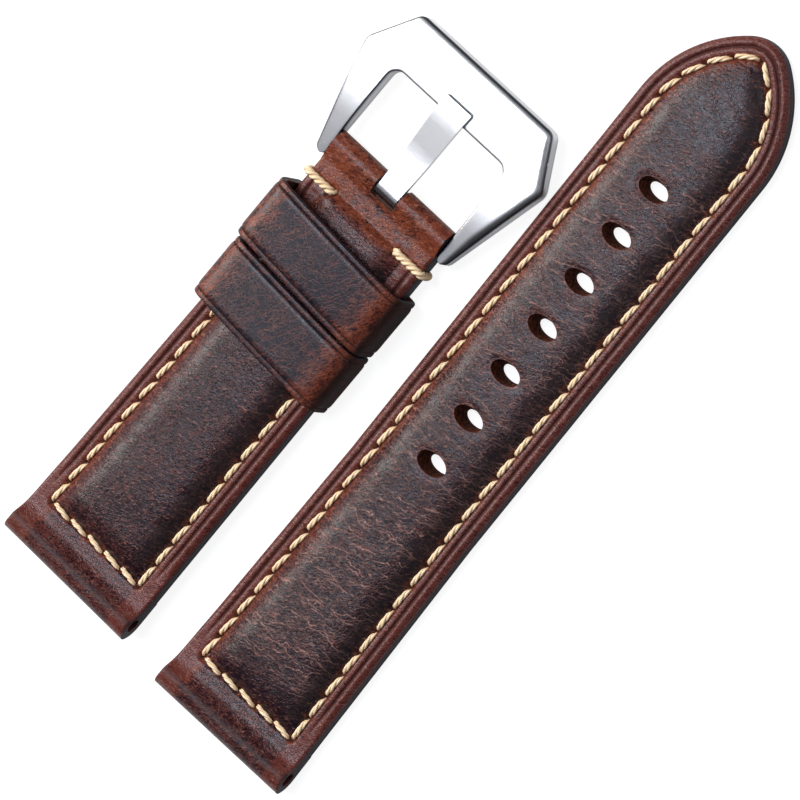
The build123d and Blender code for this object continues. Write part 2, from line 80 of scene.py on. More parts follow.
# where the short half's raised middle ends
PAD_END = 67.9
# the notch for the tang runs from here past the end
NOTCH_X, NOTCH_HALF = 71.3, 2.2
# each keeper's near edge, underside, height at its left and right, and how it lies askew: shift and lean
KEEPERS = {
    "fixed_keeper": (54.6, -1.2, 8.3, 6.8, -0.35, 0.85),
    "free_keeper": (44.3, -1.32, 6.5, 6.0, -0.6, 0.65),
}
# the keepers' loops are a little narrower and thinner than the part's
KEEPER_HALF, KEEPER_LEATHER, KEEPER_WIDTH, KEEPER_CREASE = 12.6, 0.93, 10.0, 0.93
# corners of the buckle frame, from the bar, before they are rounded
HEEL_X, HEEL_HALF, SHOULDER_X, SHOULDER_HALF = -2.7, 12.75, 14.1, 17.1
FRONT_X, FRONT_HALF, WINDOW_X, WINDOW_HALF = 21.65, 12.7, 13.7, 11.15
FRAME_THICKNESS, WINDOW_CUT = 3.2, 1.1

low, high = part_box("long_face_leather")
HOME = np.array([low.x / MM, (low.y + high.y) / 2 / MM, 0.0])


def lay_long(co):
    return (np.asarray(co, float) + HOME) * MM


def lay_short(co):
    co = np.asarray(co, float)
    c, s = math.cos(SHORT_YAW), math.sin(SHORT_YAW)
    x = c * co[..., 0] - s * co[..., 1] + SHORT_OFFSET[0]
    y = s * co[..., 0] + c * co[..., 1] + SHORT_OFFSET[1]
    return (np.stack([x, y, co[..., 2] + GROUND], -1) + HOME) * MM


# small numeric helpers
def smooth(a, b, t):
    t = np.clip((t - a) / (b - a), 0, 1)
    return t * t * (3 - 2 * t)


NOISE = RNG.random((64, 64))


def noise(x, y):
    """Smooth value noise from 0 to 1, one bump per unit."""
    x, y = np.asarray(x, float), np.asarray(y, float)
    xi, yi = np.floor(x).astype(int), np.floor(y).astype(int)
    fx, fy = x - xi, y - yi
    fx, fy = fx * fx * (3 - 2 * fx), fy * fy * (3 - 2 * fy)
    at = lambda i, j: NOISE[(xi + i) % 64, (yi + j) % 64]
    return (at(0, 0) * (1 - fx) + at(1, 0) * fx) * (1 - fy) + (at(0, 1) * (1 - fx) + at(1, 1) * fx) * fy


def gauss(t, width):
    return np.exp(-(t / width) ** 2)


# the two halves as height fields
def half_width(x, is_long):
    end_x, end = (TAIL_TAPER, TAIL_HALF) if is_long else (SHORT_LENGTH, BUCKLE_END_HALF)
    return LUG_HALF + (end - LUG_HALF) * np.minimum(x / end_x, 1)


def inset_of(x, y, is_long):
    """Distance inside the plan's long edge."""
    y = np.abs(y)
    side = half_width(x, is_long) - y
    if not is_long:
        return side
    dx, dy = x - TIP_X, y + TIP_DROP
    arc = TIP_R - np.hypot(dx, dy)
    nose = NOSE_R - np.hypot(x - TIP_X - NOSE_OFFSET, y)
    tip = np.where(np.arctan2(dy, np.maximum(dx, 1e-9)) < TIP_TURN, nose, arc)
    return np.where(x > TIP_X, tip, side)


def lug_roll(s):
    """Top of the roll at the lug end: round at its nose, then a fall that flattens out."""
    nose = ROLL_TOP / 2 * (1 + np.sqrt(np.clip(1 - (1 - s / ROLL_X) ** 2, 0, 1)))
    past = np.maximum(s - ROLL_X, 0)
    fall = 0.75 * gauss(past, ROLL_FALL) + 0.25 * gauss(past, 2 * ROLL_FALL)
    return np.where(s < ROLL_X, nose, MARGIN + (ROLL_TOP - MARGIN) * fall)


def roll_top(s, r, slope):
    """Top of a rolled end, s along from its outer end."""
    over = r + np.sqrt(np.maximum(r * r - (s - r) ** 2, 0))
    tangent_s = r + r * math.sin(slope)
    tangent_z = r + r * math.cos(slope)
    return np.where(s > tangent_s, tangent_z - (s - tangent_s) * math.tan(slope), over)


def soft_max(a, b, k):
    return np.maximum(a, b) + k * np.exp(-np.abs(a - b) / k) * 0.35


def seam_places(is_long):
    """Each stitch as middle, heading, length; and the holes between the stitches."""
    inset = SEAM_INSET
    runs = []
    start = (SEAM_X, half_width(SEAM_X, is_long) - inset)
    if is_long:
        runs.append(("line", start, (TAIL_TAPER, TAIL_HALF - inset)))
        runs.append(("line", (TAIL_TAPER, TAIL_HALF - inset), (TIP_X, TAIL_HALF - inset)))
        runs.append(("arc", (TIP_X, -TIP_DROP), TIP_R - inset, math.pi / 2, TIP_TURN))
        runs.append(("arc", (TIP_X + NOSE_OFFSET, 0), NOSE_R - inset, TIP_TURN, 0))
    else:
        runs.append(("line", start, (SEAM_END, half_width(SEAM_END, False) - inset)))
    lengths = [math.dist(r[1], r[2]) if r[0] == "line" else r[2] * (r[3] - r[4]) for r in runs]
    total = sum(lengths)
    count = round(total / STITCH_PITCH)
    pitch = total / count

    def at(d):
        for r, length in zip(runs, lengths):
            if d <= length or r is runs[-1]:
                t = d / length
                if r[0] == "line":
                    (x0, y0), (x1, y1) = r[1], r[2]
                    return x0 + t * (x1 - x0), y0 + t * (y1 - y0), math.atan2(y1 - y0, x1 - x0)
                a = r[3] + t * (r[4] - r[3])
                return r[1][0] + r[2] * math.cos(a), r[1][1] + r[2] * math.sin(a), a - math.pi / 2
            d -= length

    stitches, pits = [], []
    row = start[1] - 0.36
    lean = {"left": math.radians(-4.5), "right": math.radians(-2), "row": math.radians(7)}
    row_count = round(2 * row / ROW_PITCH)
    row_pitch = 2 * row / row_count
    for k in range(row_count):
        stitches.append((SEAM_X, row - (k + 0.5) * row_pitch, -math.pi / 2 - lean["row"], row_pitch * 0.78))
        if k:
            pits.append((SEAM_X, row - k * row_pitch))
    for k in range(count + 1):
        x, y, _ = at(k * pitch)
        pits += [(x, y), (x, -y)]
        if k < count:
            x, y, heading = at((k + 0.5) * pitch)
            stitches.append((x, y, heading + lean["left"], pitch * 0.76))
            stitches.append((x, -y, -heading + lean["right"], pitch * 0.76))
    return stitches, np.array(pits)


def nearest(x, y, points):
    """Distance to the nearest of some points."""
    best = np.full(np.shape(x), 9.0)
    for px, py in points:
        best = np.minimum(best, np.hypot(x - px, y - py))
    return best


def hole_gap(x, y):
    """Rough distance outside the nearest oval hole."""
    best = np.full(np.shape(x), 9.0)
    for hx in HOLES_X:
        r = np.hypot((x - hx) / HOLE_A, y / HOLE_B)
        best = np.minimum(best, (r - 1) * 1.9)
    return best


LONG_CROWN = ([0, 0.06, 0.14, 0.4, 0.6, 1.0], [0.62, 0.9, 1.0, 0.95, 0.76, 0.6])
TIP_CROWN = ([0, 0.35, 0.6, 0.8, 1.0], [0.6, 0.54, 0.46, 0.36, 0.2])
SHORT_CROWN = ([0, 0.06, 0.16, 0.5, 0.8, 1.0], [0.62, 0.9, 1.0, 0.95, 0.78, 0.66])


def height(x, y, is_long, pits):
    """Top of the face leather."""
    d = inset_of(x, y, is_long)
    length = LONG_LENGTH if is_long else SHORT_LENGTH
    z = np.full(np.shape(x), MARGIN)
    round_r = 0.5
    edge = np.clip(round_r - d, 0, round_r)
    z -= round_r - np.sqrt(np.maximum(round_r ** 2 - edge ** 2, 0))
    along = smooth(8.5, 15, x) * (1 if is_long else smooth(70.5, 64, x))
    z -= 0.26 * along * gauss(d - CREASE, 0.2)
    z += along * (0.10 * gauss(d - 0.8, 0.36) + 0.06 * gauss(d - 2.1, 0.4) - 0.22 * smooth(1.0, 0.0, d))
    # padded middle
    if is_long:
        t = (x - SEAM_X) / (TIP_X - SEAM_X)
        full = np.where(x < TIP_X, np.interp(t, *LONG_CROWN), np.interp((x - TIP_X) / 13.2, *TIP_CROWN))
    else:
        full = np.interp((x - SEAM_X) / (PAD_END - SEAM_X), *SHORT_CROWN)
    a, b = d - SEAM_INSET - 0.3, x - SEAM_X - 0.4
    k = 0.9
    rise = -k * np.log(np.exp(-np.clip(a, -4, 30) / k) + np.exp(-np.clip(b * 1.3, -4, 30) / k))
    if not is_long:
        c = (PAD_END - x) * 1.6
        rise = -0.35 * np.log(np.exp(-np.clip(rise, -4, 20) / 0.35) + np.exp(-np.clip(c, -4, 20) / 0.35))
    inner = np.maximum(half_width(x, is_long) - SEAM_INSET, 1)
    if is_long:
        inner = np.where(x > TIP_X, np.maximum(np.abs(y) + np.maximum(d, 0) - SEAM_INSET, 1), inner)
    arch = 0.76 + 0.24 * (1 - np.clip(np.abs(y) / inner, 0, 1) ** 2)
    crown = PADDING * full * arch * (1 - np.exp(-(np.maximum(rise, 0) / 1.5) ** 1.3))
    z += crown
    # seam trough and the pits where the thread goes down
    if is_long:
        on_seam = np.where(x > SEAM_X - 0.2, gauss(d - SEAM_INSET, 0.42), 0)
    else:
        on_seam = np.where((x > SEAM_X - 0.2) & (x < SEAM_END + 0.4), gauss(d - SEAM_INSET, 0.42), 0)
    on_row = np.where(d > SEAM_INSET - 0.2, gauss(x - SEAM_X, 0.42), 0)
    z -= 0.38 * np.maximum(on_seam, on_row)
    z -= 0.32 * gauss(nearest(x, y, pits), 0.42)
    # rolled ends
    rolled = (lug_roll(x) - MARGIN) * smooth(SEAM_X + 0.6, SEAM_X - 1.2, x)
    z = MARGIN + (z - MARGIN) * smooth(0.4, ROLL_X, x) + rolled
    if not is_long:
        s = SHORT_LENGTH - x
        z = np.where(s < 6, soft_max(z, roll_top(s, FOLD_R, FOLD_SLOPE), 0.10), z)
        z = np.where(s < FOLD_R, roll_top(s, FOLD_R, FOLD_SLOPE), z)
        tack = nearest(x, y, [(TACK_X, TACK_Y), (TACK_X, -TACK_Y)])
        z -= 0.35 * gauss(tack, 0.75)
        z -= 0.5 * gauss(nearest(x, y, TACK_PITS), 0.33)
        z -= 0.16 * np.where(np.abs(y) > TACK_Y - 0.2, gauss(x - TACK_X, 0.62), 0)
    if is_long:
        gap = hole_gap(x, y)
        z -= 0.14 * gauss(np.maximum(gap, 0), 0.35)
    # life in the hide: slow waves, and wrinkles that run in from the seam
    calm = smooth(0.4, 2.0, x) * smooth(0.2, 1.2, d) * smooth(0.3, 2.0, length - x)
    z += calm * 0.10 * (noise(x / 7.0 + 3, y / 5.0 + 9) - 0.5)
    wave = noise(x / 1.25 + 0.7 * noise(x / 3, y / 2), y / 3.2 + 40)
    pull = smooth(0.0, 1.0, d - SEAM_INSET - 0.4) * np.exp(-np.maximum(d - SEAM_INSET - 1.4, 0) / 1.7)
    z += calm * pull * (0.14 + 0.12 * (y < 0)) * (wave - 0.55) * smooth(9, 13, x)
    z += calm * smooth(7.2, 5.5, x) * 0.06 * (noise(x / 0.9 + 5, y / 3.5) - 0.5)
    if not is_long:
        ridge = gauss(x - PAD_END + 2.0, 1.6) * smooth(0.3, 1, d)
        z += ridge * 0.11 * (noise(x / 0.4 + 0.8 * noise(x, y / 3), y / 5.0) - 0.5)
    return z


# insets of the mesh's columns from the edge, close together where the creases and the seam are
INSETS = np.array([
    0, 0.05, 0.12, 0.22, 0.35, 0.5, 0.7, 0.9, 1.08, 1.2, 1.28, 1.35, 1.42, 1.48, 1.54, 1.61, 1.68, 1.76,
    1.88, 2.05, 2.25, 2.42, 2.55, 2.67, 2.78, 2.89, 3.0, 3.11, 3.22, 3.33, 3.45, 3.58, 3.72, 3.9, 4.12, 4.4])


def stations(is_long):
    """Rows along a half: (kind, value), closer together at the rolled ends."""
    phi = np.linspace(0, math.pi / 2, 15)
    rows = [("x", ROLL_X * (1 - math.cos(p))) for p in phi]
    xs = list(np.arange(ROLL_X + 0.25, LUG_FOOT - 0.1, 0.25)) + [LUG_FOOT - 0.01, LUG_FOOT + 0.01]
    if is_long:
        xs += list(np.arange(LUG_FOOT + 0.2, TIP_X, 0.27))
        rows += [("x", v) for v in xs] + [("x", TIP_X)]
        n = 68
        rows += [("side", math.pi / 2 + (TIP_TURN - math.pi / 2) * k / n) for k in range(1, n + 1)]
        rows += [("nose", TIP_TURN * (1 - k / 16)) for k in range(1, 17)]
    else:
        xs += list(np.arange(LUG_FOOT + 0.2, FLAP_X - 0.15, 0.27)) + [FLAP_X - 0.01, FLAP_X + 0.01]
        xs += list(np.arange(FLAP_X + 0.25, BAR_X - 0.1, 0.24)) + [BAR_X]
        rows += [("x", v) for v in xs]
        rows += [("x", SHORT_LENGTH - FOLD_R * (1 - math.cos(p))) for p in phi[::-1][1:]]
    return rows


def plan_grid(is_long, rows, middle=44):
    """x and y of every column of every row, from the left edge to the right one."""
    insets, share = INSETS, np.linspace(0, 1, middle + 2)[1:-1]
    xs, ys, out = [], [], []
    for kind, v in rows:
        if kind == "x":
            x = np.full(len(insets), v)
            y = half_width(v, is_long) - insets
            n = (0.0, 1.0)
        else:
            cx, cy, r = (TIP_X, -TIP_DROP, TIP_R) if kind == "side" else (TIP_X + NOSE_OFFSET, 0.0, NOSE_R)
            n = (math.cos(v), math.sin(v))
            x = cx + (r - insets) * n[0]
            y = cy + (r - insets) * n[1]
        y_in = y[-1]
        xs.append(np.concatenate([x, np.full(middle, x[-1]), x[::-1]]))
        ys.append(np.concatenate([y, y_in * (1 - 2 * share), -y[::-1]]))
        out.append(n)
    return np.array(xs), np.array(ys), np.array(out)


def loops_to_mesh(loops):
    """Closed loops of equal length, one per row, joined into quads."""
    rows, n = loops.shape[:2]
    index = np.arange(rows * n).reshape(rows, n)
    a, b = index[:-1], index[1:]
    faces = np.stack([a, np.roll(a, -1, 1), np.roll(b, -1, 1), b], -1).reshape(-1, 4)
    return loops.reshape(-1, 3), faces


def strap_body(is_long, pits):
    """Closed skin of one half's face leather."""
    rows = stations(is_long)
    x, y, normal = plan_grid(is_long, rows)
    top = height(x, y, is_long, pits)
    bottom = np.full_like(x, LINING + 0.04)
    flat = x < LUG_FOOT
    roll_low = ROLL_TOP / 2 * (1 - np.sqrt(np.clip(1 - (1 - np.minimum(x / ROLL_X, 1)) ** 2, 0, 1)))
    bottom = np.where(flat, roll_low, bottom)
    if not is_long:
        s = SHORT_LENGTH - x
        fold_low = FOLD_R - np.sqrt(np.maximum(FOLD_R ** 2 - np.minimum(s - FOLD_R, 0) ** 2, 0))
        bottom = np.where(x > FLAP_X, fold_low, bottom)
    steps = np.linspace(0, 1, 9)[1:-1]
    loops = []
    for k in range(len(rows)):
        t = np.stack([x[k], y[k], top[k]], -1)
        u = np.stack([x[k], y[k], bottom[k]], -1)[::-1]
        side = []
        for sign, p, q in ((-1, t[-1], u[0]), (1, u[-1], t[0])):
            w = p + (q - p) * steps[:, None]
            bulge = 0.07 * np.sin(math.pi * steps) * min(abs(p[2] - q[2]) / 1.2, 1)
            w[:, 0] += bulge * normal[k][0]
            w[:, 1] += bulge * sign * normal[k][1]
            side.append(w)
        loops.append(np.concatenate([t, side[0], u, side[1]]))
    return loops_to_mesh(np.array(loops))


def lining_body(is_long):
    """Lining leather: a thin plate with a soft edge and a channel for the seam."""
    start, end = LUG_FOOT + 0.02, (LONG_LENGTH if is_long else FLAP_X - 0.02)
    rows = [r for r in stations(is_long) if r[0] != "x" or start < r[1] < end]
    rows = [("x", start)] + rows + ([] if is_long else [("x", end)])
    x, y, normal = plan_grid(is_long, rows, 30)
    d = inset_of(x, y, is_long)
    on_seam = gauss(d - SEAM_INSET, 0.4) + np.where(d > SEAM_INSET - 0.2, gauss(x - SEAM_X, 0.35), 0)
    low = 0.45 * np.clip(on_seam, 0, 1) + 0.25 * gauss(np.maximum(d, 0), 0.18)
    low += 0.04 * (noise(x / 4 + 11, y / 4 + 5) - 0.2)
    steps = np.linspace(0, 1, 6)[1:-1]
    loops = []
    for k in range(len(rows)):
        t = np.stack([x[k], y[k], np.full(len(x[k]), LINING)], -1)
        u = np.stack([x[k], y[k], np.maximum(low[k], 0)], -1)[::-1]
        side = []
        for sign, p, q in ((-1, t[-1], u[0]), (1, u[-1], t[0])):
            w = p + (q - p) * steps[:, None]
            bulge = 0.06 * np.sin(math.pi * steps)
            w[:, 0] += bulge * normal[k][0]
            w[:, 1] += bulge * sign * normal[k][1]
            side.append(w)
        loops.append(np.concatenate([t, side[0], u, side[1]]))
    verts, faces = loops_to_mesh(np.array(loops))
    n = len(loops[0])
    ends = [list(range(n))[::-1]] + ([] if is_long else [list(range((len(rows) - 1) * n, len(rows) * n))])
    return verts, faces, ends


# thread
def rope(path, radius, twist, strands=3, sides=6, up=(0, 0, 1), taper=None):
    """Strands twisted round a path. Returns vertices, faces, and how deep each vertex lies in the lay."""
    path = np.asarray(path, float)
    step = np.linalg.norm(np.diff(path, axis=0), axis=1)
    s = np.concatenate([[0], np.cumsum(step)])
    tangent = np.gradient(path, axis=0)
    tangent /= np.linalg.norm(tangent, axis=1)[:, None]
    side = np.cross(tangent, np.asarray(up, float))
    side /= np.linalg.norm(side, axis=1)[:, None]
    lift = np.cross(side, tangent)
    strand_r = radius * 0.54
    centre_r = radius - strand_r
    taper = np.ones(len(path)) if taper is None else taper
    verts, faces, depth = [], [], []
    for k in range(strands):
        a = 2 * math.pi * (s / twist + k / strands)
        way = np.cos(a)[:, None] * side + np.sin(a)[:, None] * lift
        c = path + (centre_r * taper)[:, None] * way
        ring = []
        for j in range(sides):
            b = a + 2 * math.pi * j / sides
            way = np.cos(b)[:, None] * side + np.sin(b)[:, None] * lift
            ring.append(c + (strand_r * taper)[:, None] * way)
        ring = np.stack(ring, 1)
        base = sum(len(v) for v in verts)
        n = len(path)
        index = np.arange(n * sides).reshape(n, sides) + base
        near, far = index[:-1], index[1:]
        quads = np.stack([near, np.roll(near, -1, 1), np.roll(far, -1, 1), far], -1)
        faces.append(quads.reshape(-1, 4))
        verts.append(ring.reshape(-1, 3))
        out = np.linalg.norm(ring - path[:, None], axis=2) / (radius * taper[:, None])
        depth.append(np.clip(1 - out, 0, 1).reshape(-1))
    return np.concatenate(verts), np.concatenate(faces), np.concatenate(depth)


def seam_stitches(stitches, z, dive):
    """Twisted stitches whose ends go down into the leather."""
    verts, faces, depth, ends = [], [], [], []
    base = 0
    for k, (x, y, heading, length) in enumerate(stitches):
        h = heading + math.radians(2.0 * math.sin(k * 2.4))
        half = length / 2 + 0.24
        s = np.linspace(-half, half, 19)
        u = s / half
        drop = dive * np.where(u < 0, np.abs(u) ** 7, np.abs(u) ** 4) * (1 + 0.15 * math.sin(k * 1.7))
        lateral = 0.05 - 0.24 * np.clip(u, 0, 1) ** 3 + 0.04 * math.sin(k * 3.1)
        path = np.stack([x + s * math.cos(h) - lateral * math.sin(h),
                         y + s * math.sin(h) + lateral * math.cos(h),
                         z - drop], -1)
        taper = 1 - np.where(u < 0, 0.18 * np.abs(u) ** 5, 0.36 * np.abs(u) ** 3)
        v, f, dp = rope(path, THREAD_R + 0.02 * math.sin(k * 5.3), 3.8, sides=8, taper=taper)
        verts.append(v)
        faces.append(f + base)
        depth.append(dp)
        ends.append(np.tile(np.repeat(np.abs(u), 8), 3))
        base += len(v)
    return np.concatenate(verts), np.concatenate(faces), np.concatenate(depth), np.concatenate(ends)


def tack_path(side):
    """Centre line of a tack stitch: up through the hole, over to the edge, round it and back below."""
    inner, outer = TACK_Y, half_width(TACK_X, False) + 0.30
    top, low, r = MARGIN + 0.48, -0.30, 0.7
    pts = []
    for cy, cz, a0 in ((inner + r, top - r, math.pi), (outer - r, top - r, math.pi / 2),
                       (outer - r, low + r, 0), (inner + r, low + r, -math.pi / 2)):
        for k in range(7):
            a = a0 - k / 6 * math.pi / 2
            pts.append((TACK_X, side * (cy + r * math.cos(a)), cz + r * math.sin(a)))
    pts.append(pts[0])
    pts = np.array(pts)
    step = np.linalg.norm(np.diff(pts, axis=0), axis=1)
    s = np.concatenate([[0], np.cumsum(step)])
    t = np.linspace(0, s[-1], 70)
    return np.stack([np.interp(t, s, pts[:, i]) for i in range(3)], -1)


# keepers
def rounded(points, reach):
    """A closed ring of points whose corners are rounded by an average over a length either way."""
    closed = np.concatenate([points, points[:1]])
    s = np.concatenate([[0], np.cumsum(np.linalg.norm(np.diff(closed, axis=0), axis=1))])
    fine = np.linspace(0, s[-1], 1200, endpoint=False)
    ring = np.stack([np.interp(fine, s, closed[:, i]) for i in range(2)], -1)
    for width in (reach, reach * 0.5):
        steps = int(width / s[-1] * 1200)
        ring = sum(np.roll(ring, k, 0) for k in range(-steps, steps + 1)) / (2 * steps + 1)
    return ring


def keeper_outline(floor, left, right):
    """Outline of a keeper's loop as y and z: tight at the foot, rounder at its shoulders."""
    t = np.linspace(0, 1, 41)
    arch = np.stack([KEEPER_HALF * (1 - 2 * t), left + (right - left) * t + 2.4 * t * (1 - t)], -1)
    corners = np.concatenate([[(-KEEPER_HALF, floor), (KEEPER_HALF, floor)], arch])
    tight, loose = rounded(corners, 1.3), rounded(corners, 2.7)
    share = smooth(1.0, 4.0, tight[:, 1:])
    return (tight * (1 - share) + loose * share)[::4]


def keeper_skew(name, y):
    """How far a keeper that lies askew is moved along the strap at a place across it."""
    shift, lean = KEEPERS[name][4:]
    return shift + lean * y / KEEPER_HALF


def keeper_body(name):
    x0, floor, left, right = KEEPERS[name][:4]
    outer = keeper_outline(floor, left, right)
    n = len(outer)
    tangent = np.roll(outer, -1, 0) - np.roll(outer, 1, 0)
    tangent /= np.linalg.norm(tangent, axis=1)[:, None]
    normal = np.stack([tangent[:, 1], -tangent[:, 0]], -1)
    xs = np.array([0, 0.03, 0.09, 0.18, 0.3, 0.45, 0.6, 0.7, 0.78, 0.84, 0.89, 0.93, 0.97, 1.02, 1.08, 1.16,
                   1.26, 1.4, 1.6, 1.85, 2.15])
    across = np.concatenate([xs, np.linspace(2.5, 7.5, 21), (KEEPER_WIDTH - xs)[::-1]])
    edge = np.minimum(across, KEEPER_WIDTH - across)
    r = 0.32
    drop = r - np.sqrt(np.maximum(r * r - np.clip(r - edge, 0, r) ** 2, 0))
    past = edge - KEEPER_CREASE
    groove = 0.15 * np.where(past > 0, np.exp(-past / 0.13), gauss(past, 0.09))
    band = 0.05 * smooth(0.05, -0.1, past) + 0.05 * smooth(0.7, 0.0, past)
    face = -drop - groove - band
    yy = np.linspace(0, 1, n, endpoint=False)
    under = normal[:, 1] < -0.8
    loops = []
    for k, (x, f) in enumerate(zip(across, face)):
        waves = noise(x / 5.0 + 9 * (name == "free_keeper"), yy * 16) - 0.5
        lift = f + 0.04 * waves * smooth(0.2, 1, edge[k])
        lift = np.where(under, np.minimum(lift, 0), lift)
        ring = outer + normal * lift[:, None]
        loops.append(np.stack([x0 + x + keeper_skew(name, ring[:, 0]), ring[:, 0], ring[:, 1]], -1))
    inner = [(0.0, 0.55), (0.05, 0.8), (0.25, 0.985), (0.6, 1.0)]
    inner += [(5.0, 1.0)] + [(KEEPER_WIDTH - a, share) for a, share in inner[::-1]]
    for x, share in inner[::-1]:
        ring = outer - normal * share * KEEPER_LEATHER
        loops.append(np.stack([x0 + x + keeper_skew(name, ring[:, 0]), ring[:, 0], ring[:, 1]], -1))
    rows = np.array(loops).transpose(1, 0, 2)
    return loops_to_mesh(np.concatenate([rows, rows[:1]]))


# buckle frame
def frame_line(points, reach, count):
    """A polyline resampled evenly by its corners' shares, with its corners rounded."""
    dense = []
    for (x0, y0), (x1, y1), n in zip(points, points[1:], count):
        t = np.linspace(0, 1, n, endpoint=False)[:, None]
        dense.append(np.array([[x0, y0]]) * (1 - t) + np.array([[x1, y1]]) * t)
    line = np.concatenate(dense + [np.array(points[-1:])])
    step = np.linalg.norm(np.diff(line, axis=0), axis=1)
    s = np.concatenate([[0], np.cumsum(step)])
    fine = np.linspace(-reach, s[-1] + reach, 2400)
    ds = fine[1] - fine[0]
    ring = np.stack([np.interp(fine, s, line[:, i]) for i in range(2)], -1)
    # straight runs go on past both ends, so that the average leaves the ends alone
    for end, sign in ((fine < 0, 1), (fine > s[-1], -1)):
        a, b = (line[0], line[1]) if sign > 0 else (line[-1], line[-2])
        way = (a - b) / np.linalg.norm(a - b)
        past = np.where(sign > 0, -fine, fine - s[-1])[end]
        ring[end] = a + past[:, None] * way
    steps = max(int(reach / ds), 1)
    kernel = np.ones(2 * steps + 1) / (2 * steps + 1)
    soft = np.stack([np.convolve(ring[:, i], kernel, "same") for i in range(2)], -1)
    soft[:steps], soft[-steps:] = ring[:steps], ring[-steps:]
    return np.stack([np.interp(s, fine, soft[:, i]) for i in range(2)], -1)


def frame_body():
    """The frame as one strip from heel to heel: a soft roll along its outer edge, legs that bend down."""
    half_outer = [(HEEL_X, HEEL_HALF), (SHOULDER_X, SHOULDER_HALF), (FRONT_X, FRONT_HALF), (FRONT_X, 0)]
    half_inner = [(HEEL_X, WINDOW_HALF), (WINDOW_X - WINDOW_CUT, WINDOW_HALF),
                  (WINDOW_X, WINDOW_HALF - WINDOW_CUT), (WINDOW_X, 0)]
    count = [46, 30, 30]
    mirror = lambda pts: pts + [(x, -y) for x, y in pts[-2::-1]]
    outer = frame_line(mirror(half_outer), 0.9, count + count[::-1])
    inner = frame_line(mirror(half_inner), 0.7, count + count[::-1])
    middle, arm = (outer + inner) / 2, (outer - inner) / 2
    wide = 2 * np.linalg.norm(arm, axis=1)
    # rounded heels
    past = middle[:, 0] - HEEL_X
    r = wide[0] / 2
    narrow = np.sqrt(np.clip(1 - (1 - np.clip(past / r, 0.02, 1)) ** 2, 0, 1))
    insets = np.array([0, 0.02, 0.06, 0.11, 0.17, 0.25, 0.36, 0.5, 0.66, 0.84, 1.05, 1.3])
    loops = []
    for k in range(len(middle)):
        w = wide[k] * narrow[k]
        fit = min(1, 0.42 * w / insets[-1])
        d_out = np.concatenate([insets * fit, np.linspace(insets[-1] * fit, w - insets[-1] * fit, 8)[1:-1],
                                w - insets[::-1] * fit])
        d_in = w - d_out
        way = arm[k] / (wide[k] / 2)
        plan = middle[k] + arm[k] * narrow[k] - d_out[:, None] * way
        bend = np.clip(9.5 - plan[:, 0], 0, None)
        heel = np.where(bend < 6, 0.125 * bend ** 2 / 12, 0.375 + 0.125 * (bend - 6))
        reach = 1.45 * fit
        rolled = 0.38 * (1 if middle[k, 1] < 0 else smooth(6, 15, middle[k, 0]))
        roll = rolled * fit * np.clip(1 - d_out / reach, 0, 1) ** 2
        roll = roll + 0.05 * fit * np.clip(1 - d_in / 0.6, 0, 1) ** 2
        crisp = 0.17 * fit
        for d in (d_out, d_in):
            roll += crisp - np.sqrt(np.maximum(crisp ** 2 - np.clip(crisp - d, 0, crisp) ** 2, 0))
        top = FRAME_THICKNESS / 2 - heel - roll
        face = np.column_stack([plan, top])
        low = -FRAME_THICKNESS / 2
        under = []
        # inner wall leans under, outer wall is upright with a soft foot
        lean = 0.12 * fit
        for share, out, depth in ((-1, 0.03, 0.33), (-1, 0.1, 0.66), (-1, 0.5, 0.94), (-1, 1.0, 1.0),
                                  (1, 0.25, 1.0), (1, 0.02, 0.95), (1, -0.06, 0.75), (1, -0.07, 0.5),
                                  (1, -0.04, 0.25)):
            base = face[-1] if share < 0 else face[0]
            shift = way * lean * out * (1 if share < 0 else -0.5)
            under.append([base[0] + shift[0], base[1] + shift[1], base[2] + (low - base[2]) * depth])
        loops.append(np.concatenate([face, np.array(under)]))
    loops = np.array(loops)
    verts, faces = loops_to_mesh(loops)
    verts = verts + np.array([BAR_X, 0, BAR_Z])
    n = loops.shape[1]
    ends = [list(range(n))[::-1], [(len(loops) - 1) * n + j for j in range(n)]]
    # how much of a painted dark line each outer and inner edge gets, for the steel's shade attribute
    rim = np.zeros(loops.shape[:2])
    rim[:, :len(insets)] = smooth(0.45, 0.12, insets)
    rim[:, len(face) - len(insets):len(face)] = smooth(0.3, 0.1, insets)[::-1]
    return verts, faces, ends, rim.reshape(-1)


# meshes and materials
def hex_colour(text):
    """sRGB hex to linear."""
    c = [int(text[i:i + 2], 16) / 255 for i in (1, 3, 5)]
    return tuple(v / 12.92 if v <= 0.04045 else ((v + 0.055) / 1.055) ** 2.4 for v in c) + (1.0,)


def add(tree, kind, inputs=None, take=0, **settings):
    """One shader node with its settings and its inputs set or linked. Gives back one of its outputs."""
    node = tree.nodes.new(kind)
    for key, value in settings.items():
        setattr(node, key, value)
    for key, value in (inputs or {}).items():
        socket = node.inputs[key]
        if isinstance(value, bpy.types.NodeSocket):
            tree.links.new(value, socket)
        else:
            socket.default_value = value
    return node.outputs[take] if len(node.outputs) else None


def new_finish(name):
    """An empty material, its tree, and the place on the piece in millimetres."""
    m = bpy.data.materials.new(name)
    m.use_nodes = True
    tree = m.node_tree
    tree.nodes.clear()
    where = add(tree, "ShaderNodeTexCoord", take="Object")
    return m, tree, add(tree, "ShaderNodeMapping", {"Vector": where, "Scale": (1000, 1000, 1000)})


# settings that several nodes share
SOFT_STEP = {"interpolation_type": "SMOOTHSTEP"}
TIMES = {"operation": "MULTIPLY", "use_clamp": True}
TIMES_PLUS = {"operation": "MULTIPLY_ADD"}
LARGER = {"operation": "MAXIMUM"}
# how much each finer layer of a noise weighs against the one before
FINER = 0.65


